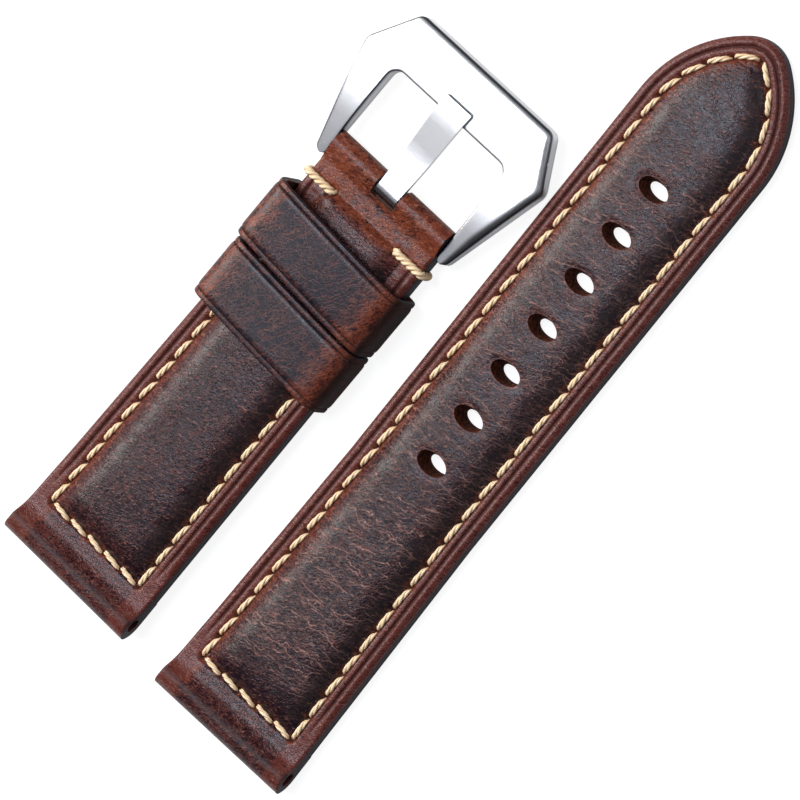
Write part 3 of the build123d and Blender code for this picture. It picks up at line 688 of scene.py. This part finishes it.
def gathered(tree, start, parts):
    """A value with weighted parts added, each of which swings about a half."""
    for part, weight in parts:
        start = add(tree, "ShaderNodeMath", {0: part, 1: weight, 2: start}, **TIMES_PLUS)
    half = sum(weight for part, weight in parts) / 2
    return add(tree, "ShaderNodeMath", {0: start, 1: half}, operation="SUBTRACT", use_clamp=True)


def surface(tree, base, layers, inputs, relief, depth, strength=1.0):
    """Principled shader: a base colour, layers over it by their amounts, relief of a depth in metres."""
    colour = hex_colour(base)
    for amount, over in layers:
        colour = add(tree, "ShaderNodeMix", {0: amount, 6: colour, 7: hex_colour(over)}, 2, data_type="RGBA")
    bump = add(tree, "ShaderNodeBump", {"Strength": strength, "Distance": depth, "Height": relief})
    shader = add(tree, "ShaderNodeBsdfPrincipled", {"Base Color": colour, **inputs, "Normal": bump})
    add(tree, "ShaderNodeOutputMaterial", {"Surface": shader})


def cracks_in(tree, mm, turned, spacing, width, reach, shift):
    """Long wavy lines across the strap, about spacing apart, that come and go."""
    moved = add(tree, "ShaderNodeVectorMath", {0: mm, 1: shift}, operation="ADD")
    turn = add(tree, "ShaderNodeMapping", {"Vector": moved, "Rotation": (0, 0, math.radians(-turned))})
    across = add(tree, "ShaderNodeSeparateXYZ", {"Vector": turn})
    for size, detail, swing in ((4.5, 2, 3.6), (0.8, 3, 0.9)):
        sway = add(tree, "ShaderNodeTexNoise",
                   {"Vector": turn, "Scale": 1 / size, "Detail": detail, "Roughness": FINER})
        across = add(tree, "ShaderNodeMath", {0: sway, 1: swing, 2: across}, **TIMES_PLUS)
    across = add(tree, "ShaderNodeMath", {0: across, 1: spacing}, operation="DIVIDE")
    across = add(tree, "ShaderNodeMath", {0: across}, operation="FRACT")
    gap = add(tree, "ShaderNodeMath", {0: across, 1: 0.5}, operation="SUBTRACT")
    gap = add(tree, "ShaderNodeMath", {0: gap}, operation="ABSOLUTE")
    line = add(tree, "ShaderNodeMapRange", {0: gap, 1: 0.25 * width, 2: width, 3: 1.0, 4: 0.0}, **SOFT_STEP)
    drawn_out = add(tree, "ShaderNodeMapping", {"Vector": turn, "Scale": (1, 1 / reach, 1 / 5.0)})
    there = add(tree, "ShaderNodeTexNoise",
                {"Vector": drawn_out, "Scale": 1 / 1.3, "Detail": 3, "Roughness": FINER})
    there = add(tree, "ShaderNodeMapRange", {0: there, 1: 0.47, 2: 0.6}, **SOFT_STEP)
    return add(tree, "ShaderNodeMath", {0: line, 1: there}, **TIMES)


def leather_material(name, colours, turned, rough, speckle, relief, veins):
    """Waxed pull-up cowhide: near-black, red-brown where the wax has moved and as painted light on its lit
    side, light hairline cracks across.

    The attributes say where it is rubbed or painted lighter on its lit side, where it is rusty, where
    painted shade darkens it, and where it is cracked.
    """
    dark, red, rust, line = colours
    m, tree, mm = new_finish(name)
    rub_and_painted_light, rusty, shade, crack = (add(tree, "ShaderNodeAttribute", take="Fac", attribute_name=key)
                                for key in ("rub_and_painted_light", "rust", "shade", "crack"))
    # clouds of wax 6 mm wide, blotches of 1.7 mm, and pores of 0.22 mm
    # real pores are finer, and these are as coarse as they need to be to show
    patch, blotch, pore = (
        add(tree, "ShaderNodeTexNoise",
            {"Vector": mm, "Scale": 1 / size, "Detail": detail, "Roughness": FINER})
        for size, detail in ((6.0, 2), (1.7, 3), (0.22, 1)))
    # specks of grain 0.27 mm wide and three times as long, which lie across the strap and sway
    lay = add(tree, "ShaderNodeMapping", {"Vector": mm, "Rotation": (0, 0, math.radians(-turned))})
    sway = add(tree, "ShaderNodeTexNoise", {"Vector": mm, "Scale": 0.8, "Detail": 2.0}, "Color")
    lay = add(tree, "ShaderNodeVectorMath", {0: lay, 1: sway}, operation="ADD")
    lay = add(tree, "ShaderNodeMapping", {"Vector": lay, "Scale": (1, 1 / 3.2, 1 / 2.0)})
    speck = add(tree, "ShaderNodeTexNoise",
                {"Vector": lay, "Scale": 1 / 0.27, "Detail": 2, "Roughness": FINER})
    # a net of veins with meshes about 0.6 mm wide, stronger where the hide is blotched
    wander = add(tree, "ShaderNodeTexNoise", {"Vector": mm, "Scale": 0.9, "Detail": 3.0}, "Color")
    bent = add(tree, "ShaderNodeVectorMath", {0: mm, 1: wander}, operation="ADD")
    cell = add(tree, "ShaderNodeTexVoronoi", {"Vector": bent, "Scale": 1.7}, feature="DISTANCE_TO_EDGE")
    net = add(tree, "ShaderNodeMapRange", {0: cell, 1: 0.0, 2: 0.12, 3: 1.0, 4: 0.0}, **SOFT_STEP)
    strong = add(tree, "ShaderNodeMapRange", {0: blotch, 1: 0.38, 2: 0.6, 3: 0.1, 4: 0.9}, **SOFT_STEP)
    net = add(tree, "ShaderNodeMath", {0: net, 1: strong}, **TIMES)
    # hairline cracks in three directions, 0.55 to 1.7 mm apart
    lines = cracks_in(tree, mm, turned, 1.2, 0.08, 3.5, (0, 0, 0))
    other = cracks_in(tree, mm, turned - 22, 1.7, 0.06, 4.0, (13, 5, 0))
    fine = cracks_in(tree, mm, turned + 9, 0.55, 0.17, 2.6, (5, 17, 0))
    for more, weight in ((other, 0.8), (fine, 0.45), (net, veins)):
        faint = add(tree, "ShaderNodeMath", {0: more, 1: weight}, **TIMES)
        lines = add(tree, "ShaderNodeMath", {0: lines, 1: faint}, **LARGER)
    lines = add(tree, "ShaderNodeMath", {0: lines, 1: crack}, **TIMES)
    parts = ((patch, 0.5), (blotch, 0.7), (speck, 2.0), (pore, 2.2))
    # the red-brown amount: rubbed wax, and painted light where a side faces the key light
    amount = gathered(tree, rub_and_painted_light, [(part, weight * speckle) for part, weight in parts])
    flecks = add(tree, "ShaderNodeMapRange",
                 {0: speck, 1: 0.6, 2: 0.78, 3: 0.0, 4: 0.45 * speckle}, **SOFT_STEP)
    pits = add(tree, "ShaderNodeMapRange",
               {0: speck, 1: 0.42, 2: 0.26, 3: 0.0, 4: 0.7 * speckle}, **SOFT_STEP)
    orange = gathered(tree, rusty, ((blotch, 1.6), (speck, 2.4)))
    any_rust = add(tree, "ShaderNodeMapRange", {0: rusty, 1: 0.0, 2: 0.2}, **SOFT_STEP)
    orange = add(tree, "ShaderNodeMath", {0: orange, 1: any_rust}, **TIMES)
    # the near-black over the shade attribute is painted shade: in creases, pits and on the side away from
    # the light
    layers = ((amount, red), (orange, rust), (flecks, line), (lines, line), (pits, "#0d070a"),
              (shade, "#0b0405"))
    gloss = rough
    for part, weight in ((speck, 0.25), (pore, 0.25), (lines, 0.1), (shade, 0.6)):
        gloss = add(tree, "ShaderNodeMath", {0: part, 1: weight, 2: gloss}, **TIMES_PLUS)
    gloss = add(tree, "ShaderNodeMath", {0: gloss, 1: 0.25}, operation="SUBTRACT")
    grain = 0.0
    for part, weight in ((speck, 0.6), (pore, 0.15), (net, -0.3), (lines, -0.5), (blotch, 1.0)):
        grain = add(tree, "ShaderNodeMath", {0: part, 1: weight, 2: grain}, **TIMES_PLUS)
    surface(tree, dark, layers, {"Roughness": gloss, "Specular IOR Level": 0.32}, grain, 0.0003 * relief)
    return m


def edge_material():
    """Cut leather edge, dyed near-black and burnished: a dull plum sheen, faint fibres along it."""
    m, tree, mm = new_finish("burnished_edge_dye")
    # bundles of fibre in layers, drawn coarser than real fibres so that they show
    layered = add(tree, "ShaderNodeMapping", {"Vector": mm, "Scale": (1 / 1.4, 1 / 1.4, 1 / 0.25)})
    fibre = add(tree, "ShaderNodeTexNoise",
                {"Vector": layered, "Scale": 1 / 0.7, "Detail": 3, "Roughness": FINER})
    pale = add(tree, "ShaderNodeMapRange", {0: fibre, 1: 0.3, 2: 0.7}, **SOFT_STEP)
    surface(tree, "#120a10", ((pale, "#2b1c27"),), {"Roughness": 0.55, "Specular IOR Level": 0.3}, fibre,
            0.0001, 0.4)
    return m


def raw_material():
    """Walls of the punched holes: bare brown fibres, rough and dull."""
    m, tree, mm = new_finish("punched_raw_hide")
    # tufts 0.4 mm wide, coarser than real fibres, to show
    fibre = add(tree, "ShaderNodeTexNoise",
                {"Vector": mm, "Scale": 1 / 0.4, "Detail": 3, "Roughness": FINER})
    pale = add(tree, "ShaderNodeMapRange", {0: fibre, 1: 0.38, 2: 0.62}, **SOFT_STEP)
    surface(tree, "#2c110a", ((pale, "#824428"),), {"Roughness": 0.8, "Specular IOR Level": 0.15}, fibre,
            0.0002, 0.6)
    return m


def thread_material():
    """Waxed cream thread: pale strands, with painted shade where they meet and where their ends go down into
    the leather.
    """
    m, tree, mm = new_finish("waxed_thread")
    # painted shade deep in the lay between the strands, and at the stitch ends that go down into the leather
    deep = add(tree, "ShaderNodeAttribute", take="Fac", attribute_name="shade")
    end = add(tree, "ShaderNodeAttribute", take="Fac", attribute_name="rub_and_painted_light")
    # yarn 0.2 mm wide, coarser than real fibres, to show, and a tone that changes from stitch to stitch
    fibre, tone = (
        add(tree, "ShaderNodeTexNoise",
            {"Vector": mm, "Scale": 1 / size, "Detail": detail, "Roughness": FINER})
        for size, detail in ((0.2, 3), (3.3, 1)))
    layers = []
    for value, start, full, most, over in (
            (fibre, 0.35, 0.7, 1.0, "#fff0d2"), (tone, 0.5, 0.75, 0.3, "#f3c793"),
            (deep, 0.32, 0.7, 0.75, "#c4844f"), (end, 0.8, 1.0, 0.8, "#7a4526")):
        amount = add(tree, "ShaderNodeMapRange", {0: value, 1: start, 2: full, 4: most}, **SOFT_STEP)
        layers.append((amount, over))
    surface(tree, "#ffd79f", layers, {"Roughness": 0.4, "Specular IOR Level": 0.7}, fibre, 0.00005, 0.4)
    return m


def steel_material(name, tone, dark, rough):
    """Satin stainless steel, finely brushed, with painted shade towards the buckle's heels and a painted
    dark line along the frame's edges.
    """
    m, tree, mm = new_finish(name)
    # brush lines 0.09 mm wide and ten times as long, and a blasted bump of 0.16 mm
    # real ones are finer, and these are as coarse as they need to be to show
    brushed = add(tree, "ShaderNodeMapping", {"Vector": mm, "Scale": (1 / 0.17, 1 / 1.7, 1 / 0.17)})
    grain = add(tree, "ShaderNodeTexNoise",
                {"Vector": brushed, "Scale": 1 / 0.5, "Detail": 3, "Roughness": FINER})
    blast = add(tree, "ShaderNodeTexNoise",
                {"Vector": mm, "Scale": 1 / 0.16, "Detail": 1, "Roughness": FINER})
    along = add(tree, "ShaderNodeSeparateXYZ", {"Vector": mm})
    heel = BAR_X * math.cos(SHORT_YAW) + SHORT_OFFSET[0] + HOME[0]
    # painted shade: darker towards the heels, where the bent-down legs catch less light
    heel_shade_fade = add(tree, "ShaderNodeMapRange", {0: along, 1: heel - 4, 2: heel + 11}, **SOFT_STEP)
    worn = add(tree, "ShaderNodeMapRange", {0: grain, 1: 0.35, 2: 0.75, 3: 0.0, 4: 0.08}, **SOFT_STEP)
    # a painted dark line along the frame's edges, for their dark reflections
    rim = add(tree, "ShaderNodeAttribute", take="Fac", attribute_name="shade")
    rim = add(tree, "ShaderNodeMath", {0: rim, 1: 0.92}, **TIMES)
    gloss = add(tree, "ShaderNodeMath", {0: grain, 1: 0.14, 2: rough - 0.07}, **TIMES_PLUS)
    surface(tree, dark, ((heel_shade_fade, tone), (worn, "#8a8a8d"), (rim, "#4c4c54")),
            {"Roughness": gloss, "Metallic": 1.0}, blast, 0.000012)
    return m


def build(name, verts, faces, lay, mat, replaces, body, values=None, ends=(), cut=(), sharp=50,
          rim=None):
    """A Blender object from millimetre points, laid in the row frame, hung under its body's empty, with the
    CAD nodes it stands for hidden.
    """
    mesh = bpy.data.meshes.new(name)
    mesh.from_pydata(np.asarray(verts).tolist(), [], np.asarray(faces).tolist() + [list(e) for e in ends])
    obj = bpy.data.objects.new(name, mesh)
    bpy.context.scene.collection.objects.link(obj)
    work = bmesh.new()
    work.from_mesh(mesh)
    bmesh.ops.remove_doubles(work, verts=work.verts, dist=1e-4)
    bmesh.ops.dissolve_degenerate(work, edges=work.edges, dist=1e-5)
    bmesh.ops.recalc_face_normals(work, faces=work.faces)
    work.to_mesh(mesh)
    work.free()
    if cut:
        for cutter in cut:
            mod = obj.modifiers.new("cut", "BOOLEAN")
            mod.operation, mod.solver, mod.object = "DIFFERENCE", "EXACT", cutter
        graph = bpy.context.evaluated_depsgraph_get()
        fresh = bpy.data.meshes.new_from_object(obj.evaluated_get(graph))
        obj.modifiers.clear()
        obj.data = fresh
        mesh = fresh
        for cutter in cut:
            bpy.data.objects.remove(cutter, do_unlink=True)
    co = np.empty(len(mesh.vertices) * 3)
    mesh.vertices.foreach_get("co", co)
    co = co.reshape(-1, 3)
    if values is not None:
        for key, value in values(co).items():
            attribute = mesh.attributes.new(key, "FLOAT", "POINT")
            attribute.data.foreach_set("value", np.asarray(value, np.float32))
    faces_at, facing = (np.empty(len(mesh.polygons) * 3) for _ in range(2))
    mesh.polygons.foreach_get("center", faces_at)
    mesh.polygons.foreach_get("normal", facing)
    mesh.vertices.foreach_set("co", lay(co).astype(np.float32).reshape(-1))
    mesh.update()
    mesh.shade_smooth()
    mesh.set_sharp_from_angle(angle=math.radians(sharp))
    mesh.materials.clear()
    mesh.materials.append(mat)
    if rim is not None:
        mesh.materials.append(edge_dye)
        mesh.materials.append(raw_hide)
        index = rim(faces_at.reshape(-1, 3), facing.reshape(-1, 3))
        mesh.polygons.foreach_set("material_index", index.astype(np.int32))
    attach(obj, body)
    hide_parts(*replaces)
    return obj


def cutter_mesh(name, verts, faces):
    mesh = bpy.data.meshes.new(name)
    mesh.from_pydata([tuple(v) for v in verts], [], [list(f) for f in faces])
    work = bmesh.new()
    work.from_mesh(mesh)
    bmesh.ops.recalc_face_normals(work, faces=work.faces)
    work.to_mesh(mesh)
    work.free()
    obj = bpy.data.objects.new(name, mesh)
    bpy.context.scene.collection.objects.link(obj)
    return obj


def prism(rings):
    """Closed prism through rings of points."""
    n = len(rings[0])
    verts = [p for ring in rings for p in ring]
    faces = []
    for k in range(len(rings) - 1):
        for j in range(n):
            faces.append([k * n + j, k * n + (j + 1) % n, (k + 1) * n + (j + 1) % n, (k + 1) * n + j])
    faces.append(list(range(n))[::-1])
    faces.append([(len(rings) - 1) * n + j for j in range(n)])
    return verts, faces


def tube_cutter(name, x, z, r, half):
    turn = np.linspace(0, 2 * math.pi, 40, endpoint=False)
    ring = [(x + r * math.cos(a), z + r * math.sin(a)) for a in turn]
    return cutter_mesh(name, *prism([[(px, y, pz) for px, pz in ring] for y in (-half, half)]))


def hole_cutters(name):
    verts, faces = [], []
    for hx in HOLES_X:
        turn = np.linspace(0, 2 * math.pi, 56, endpoint=False)
        v, f = prism([[(hx + (HOLE_A - t) * math.cos(a), (HOLE_B - t) * math.sin(a), z) for a in turn]
                      for z, t in HOLE_WALL])
        faces += [[i + len(verts) for i in face] for face in f]
        verts += v
    return cutter_mesh(name, verts, faces)


def box_cutter(name, x, y, z):
    ring = [(x[0], y[0]), (x[1], y[0]), (x[1], y[1]), (x[0], y[1])]
    return cutter_mesh(name, *prism([[(a, b, h) for a, b in ring] for h in z]))


# pieces
face_leather = leather_material("waxed_pull_up_hide", ("#190b15", "#643028", "#7c3a1d", "#c08f81"),
                                turned=19, rough=0.28, speckle=1.0, relief=0.3, veins=0.25)
keeper_leather = leather_material("smooth_keeper_hide", ("#100d19", "#50241b", "#6c321b", "#9c5641"),
                                  turned=60, rough=0.30, speckle=0.42, relief=0.1, veins=0.8)
lining_leather = leather_material("plain_lining_hide", ("#4a3128", "#6a4838", "#6a4530", "#705040"),
                                  turned=19, rough=0.6, speckle=0.5, relief=0.3, veins=0.2)
edge_dye = edge_material()
raw_hide = raw_material()
thread = thread_material()
# the second colour of each steel is painted shade towards the heels
steel = steel_material("satin_brushed_steel", "#f3f3f3", "#bcbcc0", 0.24)
spring_steel = steel_material("drawn_spring_wire", "#b9b9bc", "#a0a0a4", 0.30)

for is_long in (True, False):
    side = "long" if is_long else "short"
    lay = lay_long if is_long else lay_short
    body = "long_strap" if is_long else "short_strap"
    stitches, pits = seam_places(is_long)

    def values(co, is_long=is_long, pits=pits):
        x, y, z = co.T
        d = inset_of(x, y, is_long)
        margin = smooth(3.7, 2.8, d)
        lower = smooth(1.0, -3.0, y)
        # the +y slope and margin face the key light and get more red-brown, the -y slope less: painted light
        # over rubbed wax
        slope = (0.42 + 0.2 * (y > 0)) * smooth(6.8, 3.2, d) * (1 - lower * smooth(2.9, 3.3, d))
        lit_side = (0.4 * margin + 0.5 * gauss(d - 0.8, 0.5)) * (y > 0)
        rub_and_painted_light = np.maximum(0.62 * margin + slope, 0.4 * smooth(8.0, 5.5, x)) - 0.05 + lit_side
        groove = smooth(9, 15, x) * gauss(d - CREASE, 0.22)
        groove *= 1 if is_long else smooth(70, 64, x)
        # painted shade: in the crease, in the stitch pits, in a band on the -y slope away from the light,
        # and a dark dull band on the roll's crest
        shade = 0.55 * groove + 0.9 * gauss(nearest(x, y, pits), 0.34) * smooth(3.9, 3.2, z)
        dark_side = smooth(8, 11, x) * (1 if is_long else smooth(66, 63, x))
        shade = np.maximum(shade, 0.55 * lower * gauss(d - 4.75, 1.1) * dark_side)
        shade = np.maximum(shade, 0.4 * gauss(x - ROLL_X - 0.3, 0.5))
        rub_and_painted_light += 0.3 * gauss(nearest(x, y, pits), 0.7)
        # the rust by the seam on the lit +y side only is painted light
        rust = 0.45 * gauss(nearest(x, y, pits), 0.8) + 0.2 * gauss(d - 3.6, 0.7) * (y > 0)
        crack = 0.12 + 0 * x
        if is_long:
            crack += 0.6 * smooth(11, 16, x) * smooth(50, 38, x) * smooth(3.5, 5.5, d)
            crack += 0.4 * smooth(40, 52, x) * smooth(112, 100, x)
            inside = smooth(0.05, -0.25, hole_gap(x, y))
            # painted shade inside the punched holes
            shade = np.maximum(shade, 0.3 * inside)
            rub_and_painted_light = np.maximum(rub_and_painted_light, 1.1 * inside)
            rub_and_painted_light += 0.25 * gauss(np.maximum(hole_gap(x, y), 0), 0.7)
        else:
            rub_and_painted_light = np.maximum(rub_and_painted_light + 0.15, 0.5 * smooth(62.5, 65.0, x))
            rust += 0.55 * smooth(66.0, 67.5, x)
            tack = gauss(nearest(x, y, TACK_PITS), 0.33)
            # painted shade in the tack stitches' pits
            shade = np.maximum(shade, tack * smooth(2.0, 2.4, z))
        crack *= 1 - 0.7 * margin
        # light hairlines on the lit +y margin only: cracks, put on the lit side only as painted light
        crack += 0.2 * margin * (y > 0)
        return {"rub_and_painted_light": np.clip(rub_and_painted_light, -0.3, 1.3), "rust": rust, "shade": np.clip(shade, 0, 1), "crack": crack}

    def rim(at, facing, is_long=is_long):
        upright = np.abs(facing[:, 2]) < 0.5
        inside = upright & is_long & (hole_gap(at[:, 0], at[:, 1]) < 0.15)
        return np.where(inside, 2, upright & (inset_of(at[:, 0], at[:, 1], is_long) < 0.1))

    verts, faces = strap_body(is_long, pits)
    cuts = [tube_cutter(side + "_tunnel", TUNNEL_X, TUNNEL_Z, TUNNEL_R, CUT_HALF)]
    if is_long:
        cuts.append(hole_cutters("long_holes"))
        names = ("long_face_leather", "long_padding")
    else:
        cuts.append(tube_cutter("bar_tunnel", BAR_X, BAR_Z, BAR_TUNNEL_R, CUT_HALF))
        cuts.append(box_cutter("tang_notch", (NOTCH_X, 77), (-NOTCH_HALF, NOTCH_HALF), (-3, 9)))
        names = ("short_face_leather", "short_padding")
    half = build(side + "_strap_leather", verts, faces, lay, face_leather, names, body,
                 values, cut=cuts, rim=rim)

    verts, faces, ends = lining_body(is_long)
    cuts = [hole_cutters("lining_holes")] if is_long else []
    build(side + "_strap_lining", verts, faces, lay, lining_leather, [side + "_lining"],
          body, lambda co: {"rub_and_painted_light": 0.4 + 0 * co[:, 0], "rust": 0 * co[:, 0], "shade": 0 * co[:, 0],
                            "crack": 0.2 + 0 * co[:, 0]},
          ends=ends, cut=cuts, rim=rim)

    for name, (z, dive) in ((side + "_seam_thread", FACE_THREAD), (side + "_bobbin_thread", BOBBIN_THREAD)):
        v, f, depth, end = seam_stitches(stitches, z, dive)

        # depth in the lay and the stitch ends, both for painted shade on the thread
        def thread_values(co, depth=depth, end=end):
            return {"shade": depth, "rub_and_painted_light": end} if len(co) == len(depth) else {}
        build(name + "_twist", v, f, lay, thread, [name], body, thread_values, sharp=70)

for side, sign in (("left", 1), ("right", -1)):
    v, f, depth = rope(tack_path(sign), TACK_R, 3.0, sides=8, up=(1, 0, 0))
    name = "tack_stitch_" + side
    # the tack stitches are darker where they go down through the leather: painted shade
    build(name + "_rope", v, f, lay_short, thread, [name], "short_strap",
          lambda co, depth=depth: {"shade": depth, "rub_and_painted_light": 0.75 * gauss(np.abs(co[:, 1]) - TACK_Y, 0.5)}
          if len(co) == len(depth) else {}, sharp=70)

for name in KEEPERS:
    x0, floor = KEEPERS[name][:2]
    body = "short_strap" if name == "fixed_keeper" else "free_keeper"

    def values(co, x0=x0, floor=floor, name=name):
        x, y, z = co.T
        along = x - x0 - keeper_skew(name, y)
        e = np.minimum(along, KEEPER_WIDTH - along)
        near = smooth(KEEPER_HALF - 6.0, KEEPER_HALF - 1.2, y)
        far = smooth(-KEEPER_HALF + 6.5, -KEEPER_HALF + 2.0, y)
        # painted highlight lines along each rounded edge and, on the near edge, beside the crease
        edge_highlight = 0.3 * gauss(e - 0.5, 0.16) + 0.25 * gauss(e - 1.25, 0.12) * (along < 5)
        # painted shade in the creases and on the -y wall, which faces away from the light
        shade = 0.7 * gauss(e - KEEPER_CREASE, 0.09) * (z > floor + 1.3)
        shade = np.maximum(shade, 0.75 * smooth(-KEEPER_HALF + 1.1, -KEEPER_HALF + 0.5, y))
        return {"rub_and_painted_light": np.maximum(0.3 * near, 0.46 * far) + edge_highlight - 0.04,
                "rust": 0.2 * near + 0.45 * far + 0.4 * edge_highlight,
                "shade": shade, "crack": 0.35 + 0.75 * near + 0.3 * far}

    def rim(at, facing, x0=x0, name=name):
        along = at[:, 0] - x0 - keeper_skew(name, at[:, 1]) - KEEPER_WIDTH / 2
        return (np.abs(facing[:, 0]) > 0.6) & (np.abs(np.abs(along) - KEEPER_WIDTH / 2) < 0.09)

    verts, faces = keeper_body(name)
    build(name + "_loop", verts, faces, lay_short, keeper_leather, [name], body, values,
          rim=rim)
    v, f, depth = [], [], []
    base = 0
    for place in (3.0, 7.0):
        s = np.linspace(-2.0, 2.0, 17)
        path = np.stack([x0 + place + keeper_skew(name, s), s, floor + 0.31 + 0.25 * np.abs(s / 2) ** 4], -1)
        a, b, c = rope(path, KEEPER_THREAD_R, 1.8)
        v.append(a)
        f.append(b + base)
        depth.append(c)
        base += len(a)
    depth = np.concatenate(depth)
    build(name + "_stitch_twist", np.concatenate(v), np.concatenate(f), lay_short, thread,
          [name + "_stitch"], body, lambda co, depth=depth: {"shade": depth, "rub_and_painted_light": 0 * depth}
          if len(co) == len(depth) else {}, sharp=70)

verts, faces, ends, edge_shade = frame_body()
# the frame's painted dark edge line, carried as its shade attribute
edge_shade_at = {tuple(np.round(v, 2)): r for v, r in zip(verts, edge_shade)}
build("buckle_frame_steel", verts, faces, lay_short, steel, ["buckle_frame"], "buckle",
      lambda co: {"shade": [edge_shade_at.get(tuple(np.round(v, 2)), 0) for v in co]}, ends=ends, sharp=60)
for node in ("buckle_tang", "spring_bar_tube", "spring_bar_tip_left", "spring_bar_tip_right"):
    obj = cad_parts[node]
    obj.data.materials.clear()
    obj.data.materials.append(steel)
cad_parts["spring_bar_spring"].data.materials.clear()
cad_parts["spring_bar_spring"].data.materials.append(spring_steel)

# stage, light and camera
floor_mesh = bpy.data.meshes.new("studio_floor")
FLOOR_HALF, FLOOR_Z = 2.0, -0.0002
floor_corners = [(sx * FLOOR_HALF, sy * FLOOR_HALF, FLOOR_Z)
                 for sx, sy in ((-1, -1), (1, -1), (1, 1), (-1, 1))]
floor_mesh.from_pydata(floor_corners, [], [(0, 1, 2, 3)])
floor = bpy.data.objects.new("studio_floor", floor_mesh)
bpy.context.scene.collection.objects.link(floor)
floor_mat, tree, _ = new_finish("white_paper_sweep")


def background_rays(tree):
    """1 for rays that see the plain white background (camera and see-through), and for mirror-like rays."""
    seen = add(tree, "ShaderNodeLightPath", take="Is Camera Ray")
    through = add(tree, "ShaderNodeLightPath", take="Is Transmission Ray")
    both = add(tree, "ShaderNodeMath", {0: seen, 1: through}, operation="MAXIMUM")
    return both, add(tree, "ShaderNodeLightPath", take="Is Glossy Ray")


seen, mirrored = background_rays(tree)
card = add(tree, "ShaderNodeBsdfDiffuse", {"Color": (0.7, 0.7, 0.7, 1)})
catch = add(tree, "ShaderNodeBsdfDiffuse", {"Color": (0.3, 0.3, 0.3, 1)})
glow = add(tree, "ShaderNodeEmission", {"Color": (1, 1, 1, 1), "Strength": 0.88})
white = add(tree, "ShaderNodeAddShader", {0: catch, 1: glow})
dimmed = add(tree, "ShaderNodeMath", {0: mirrored, 1: 0.2}, operation="MULTIPLY")
dimmed = add(tree, "ShaderNodeMath", {0: seen, 1: dimmed}, operation="MAXIMUM")
both = add(tree, "ShaderNodeMixShader", {0: dimmed, 1: card, 2: white})
add(tree, "ShaderNodeOutputMaterial", {"Surface": both})
floor_mesh.materials.append(floor_mat)

# a broad soft ceiling over the far side that fades to the right and the left, a pale horizon all round,
# and a dim patch low on the near right for the steel's sides
world = bpy.data.worlds.new("studio")
bpy.context.scene.world = world
world.use_nodes = True
tree = world.node_tree
tree.nodes.clear()
seen, _ = background_rays(tree)
way = add(tree, "ShaderNodeTexCoord", take="Generated")
towards = add(tree, "ShaderNodeVectorMath", {0: way, 1: Vector((0.0, 0.64, 0.77)).normalized()}, "Value",
              operation="DOT_PRODUCT")
sideways = add(tree, "ShaderNodeSeparateXYZ", {"Vector": way})
level = add(tree, "ShaderNodeMapRange", {0: towards, 1: 0.58, 2: 0.86}, **SOFT_STEP)
for start, end, low in ((0.15, 0.5, 0.0), (-0.12, -0.38, 0.35)):
    fade = add(tree, "ShaderNodeMapRange", {0: sideways, 1: start, 2: end, 3: 1.0, 4: low}, **SOFT_STEP)
    level = add(tree, "ShaderNodeMath", {0: level, 1: fade}, **TIMES)
level = add(tree, "ShaderNodeMath", {0: level, 1: 1.2, 2: 0.03}, **TIMES_PLUS)
upward = add(tree, "ShaderNodeSeparateXYZ", {"Vector": way}, "Z")
horizon = add(tree, "ShaderNodeMapRange", {0: upward, 1: 0.45, 2: 0.1, 4: 0.3}, **SOFT_STEP)
near_right = Vector((0.61, -0.61, 0.51)).normalized()
behind = add(tree, "ShaderNodeVectorMath", {0: way, 1: near_right}, "Value", operation="DOT_PRODUCT")
patch = add(tree, "ShaderNodeMapRange", {0: behind, 1: 0.7, 2: 0.92, 4: 0.5}, **SOFT_STEP)
for glow in (horizon, patch):
    level = add(tree, "ShaderNodeMath", {0: level, 1: glow}, **LARGER)
ceiling = add(tree, "ShaderNodeBackground", {"Color": hex_colour("#f8f9ff"), "Strength": level})
bright = add(tree, "ShaderNodeBackground", {"Color": (1, 1, 1, 1), "Strength": 1.0})
sky = add(tree, "ShaderNodeMixShader", {0: seen, 1: ceiling, 2: bright})
add(tree, "ShaderNodeOutputWorld", {"Surface": sky})


def area_light(name, at, to, size, power, colour):
    data = bpy.data.lights.new(name, "AREA")
    data.shape = "RECTANGLE"
    data.size, data.size_y = size
    data.energy = power
    data.color = hex_colour(colour)[:3]
    obj = bpy.data.objects.new(name, data)
    bpy.context.scene.collection.objects.link(obj)
    obj.location = at
    obj.rotation_euler = (Vector(to) - Vector(at)).to_track_quat("-Z", "Y").to_euler()
    return obj


CAMERA_AT = (np.array([208.3, -212.3, 772.1]) + HOME) * MM
forward = Vector((-0.1897, 0.2723, -0.9433)).normalized()
right = Vector((0.6141, -0.7168, -0.3303))
right = (right - forward * right.dot(forward)).normalized()
up = right.cross(forward)
camera_data = bpy.data.cameras.new("product_camera")
camera_data.sensor_width = 36
camera_data.lens = 264.14
camera_data.clip_end = 10
camera = bpy.data.objects.new("product_camera", camera_data)
bpy.context.scene.collection.objects.link(camera)
turn = Matrix((right, up, -forward)).transposed()
camera.matrix_world = Matrix.Translation(Vector(CAMERA_AT)) @ turn.to_4x4()
bpy.context.scene.camera = camera

area_light("key_softbox", Vector((-0.05, 0.75, 0.66)) * 0.9, (0, 0, 0), (0.5, 0.4), 6.0, "#fffaf4")
area_light("top_softbox", Vector((0.07, 0.25, 0.965)) * 0.9, (0, 0, 0), (0.2, 0.3), 2.8, "#e4edff")

bpy.context.scene.view_settings.view_transform = "Standard"
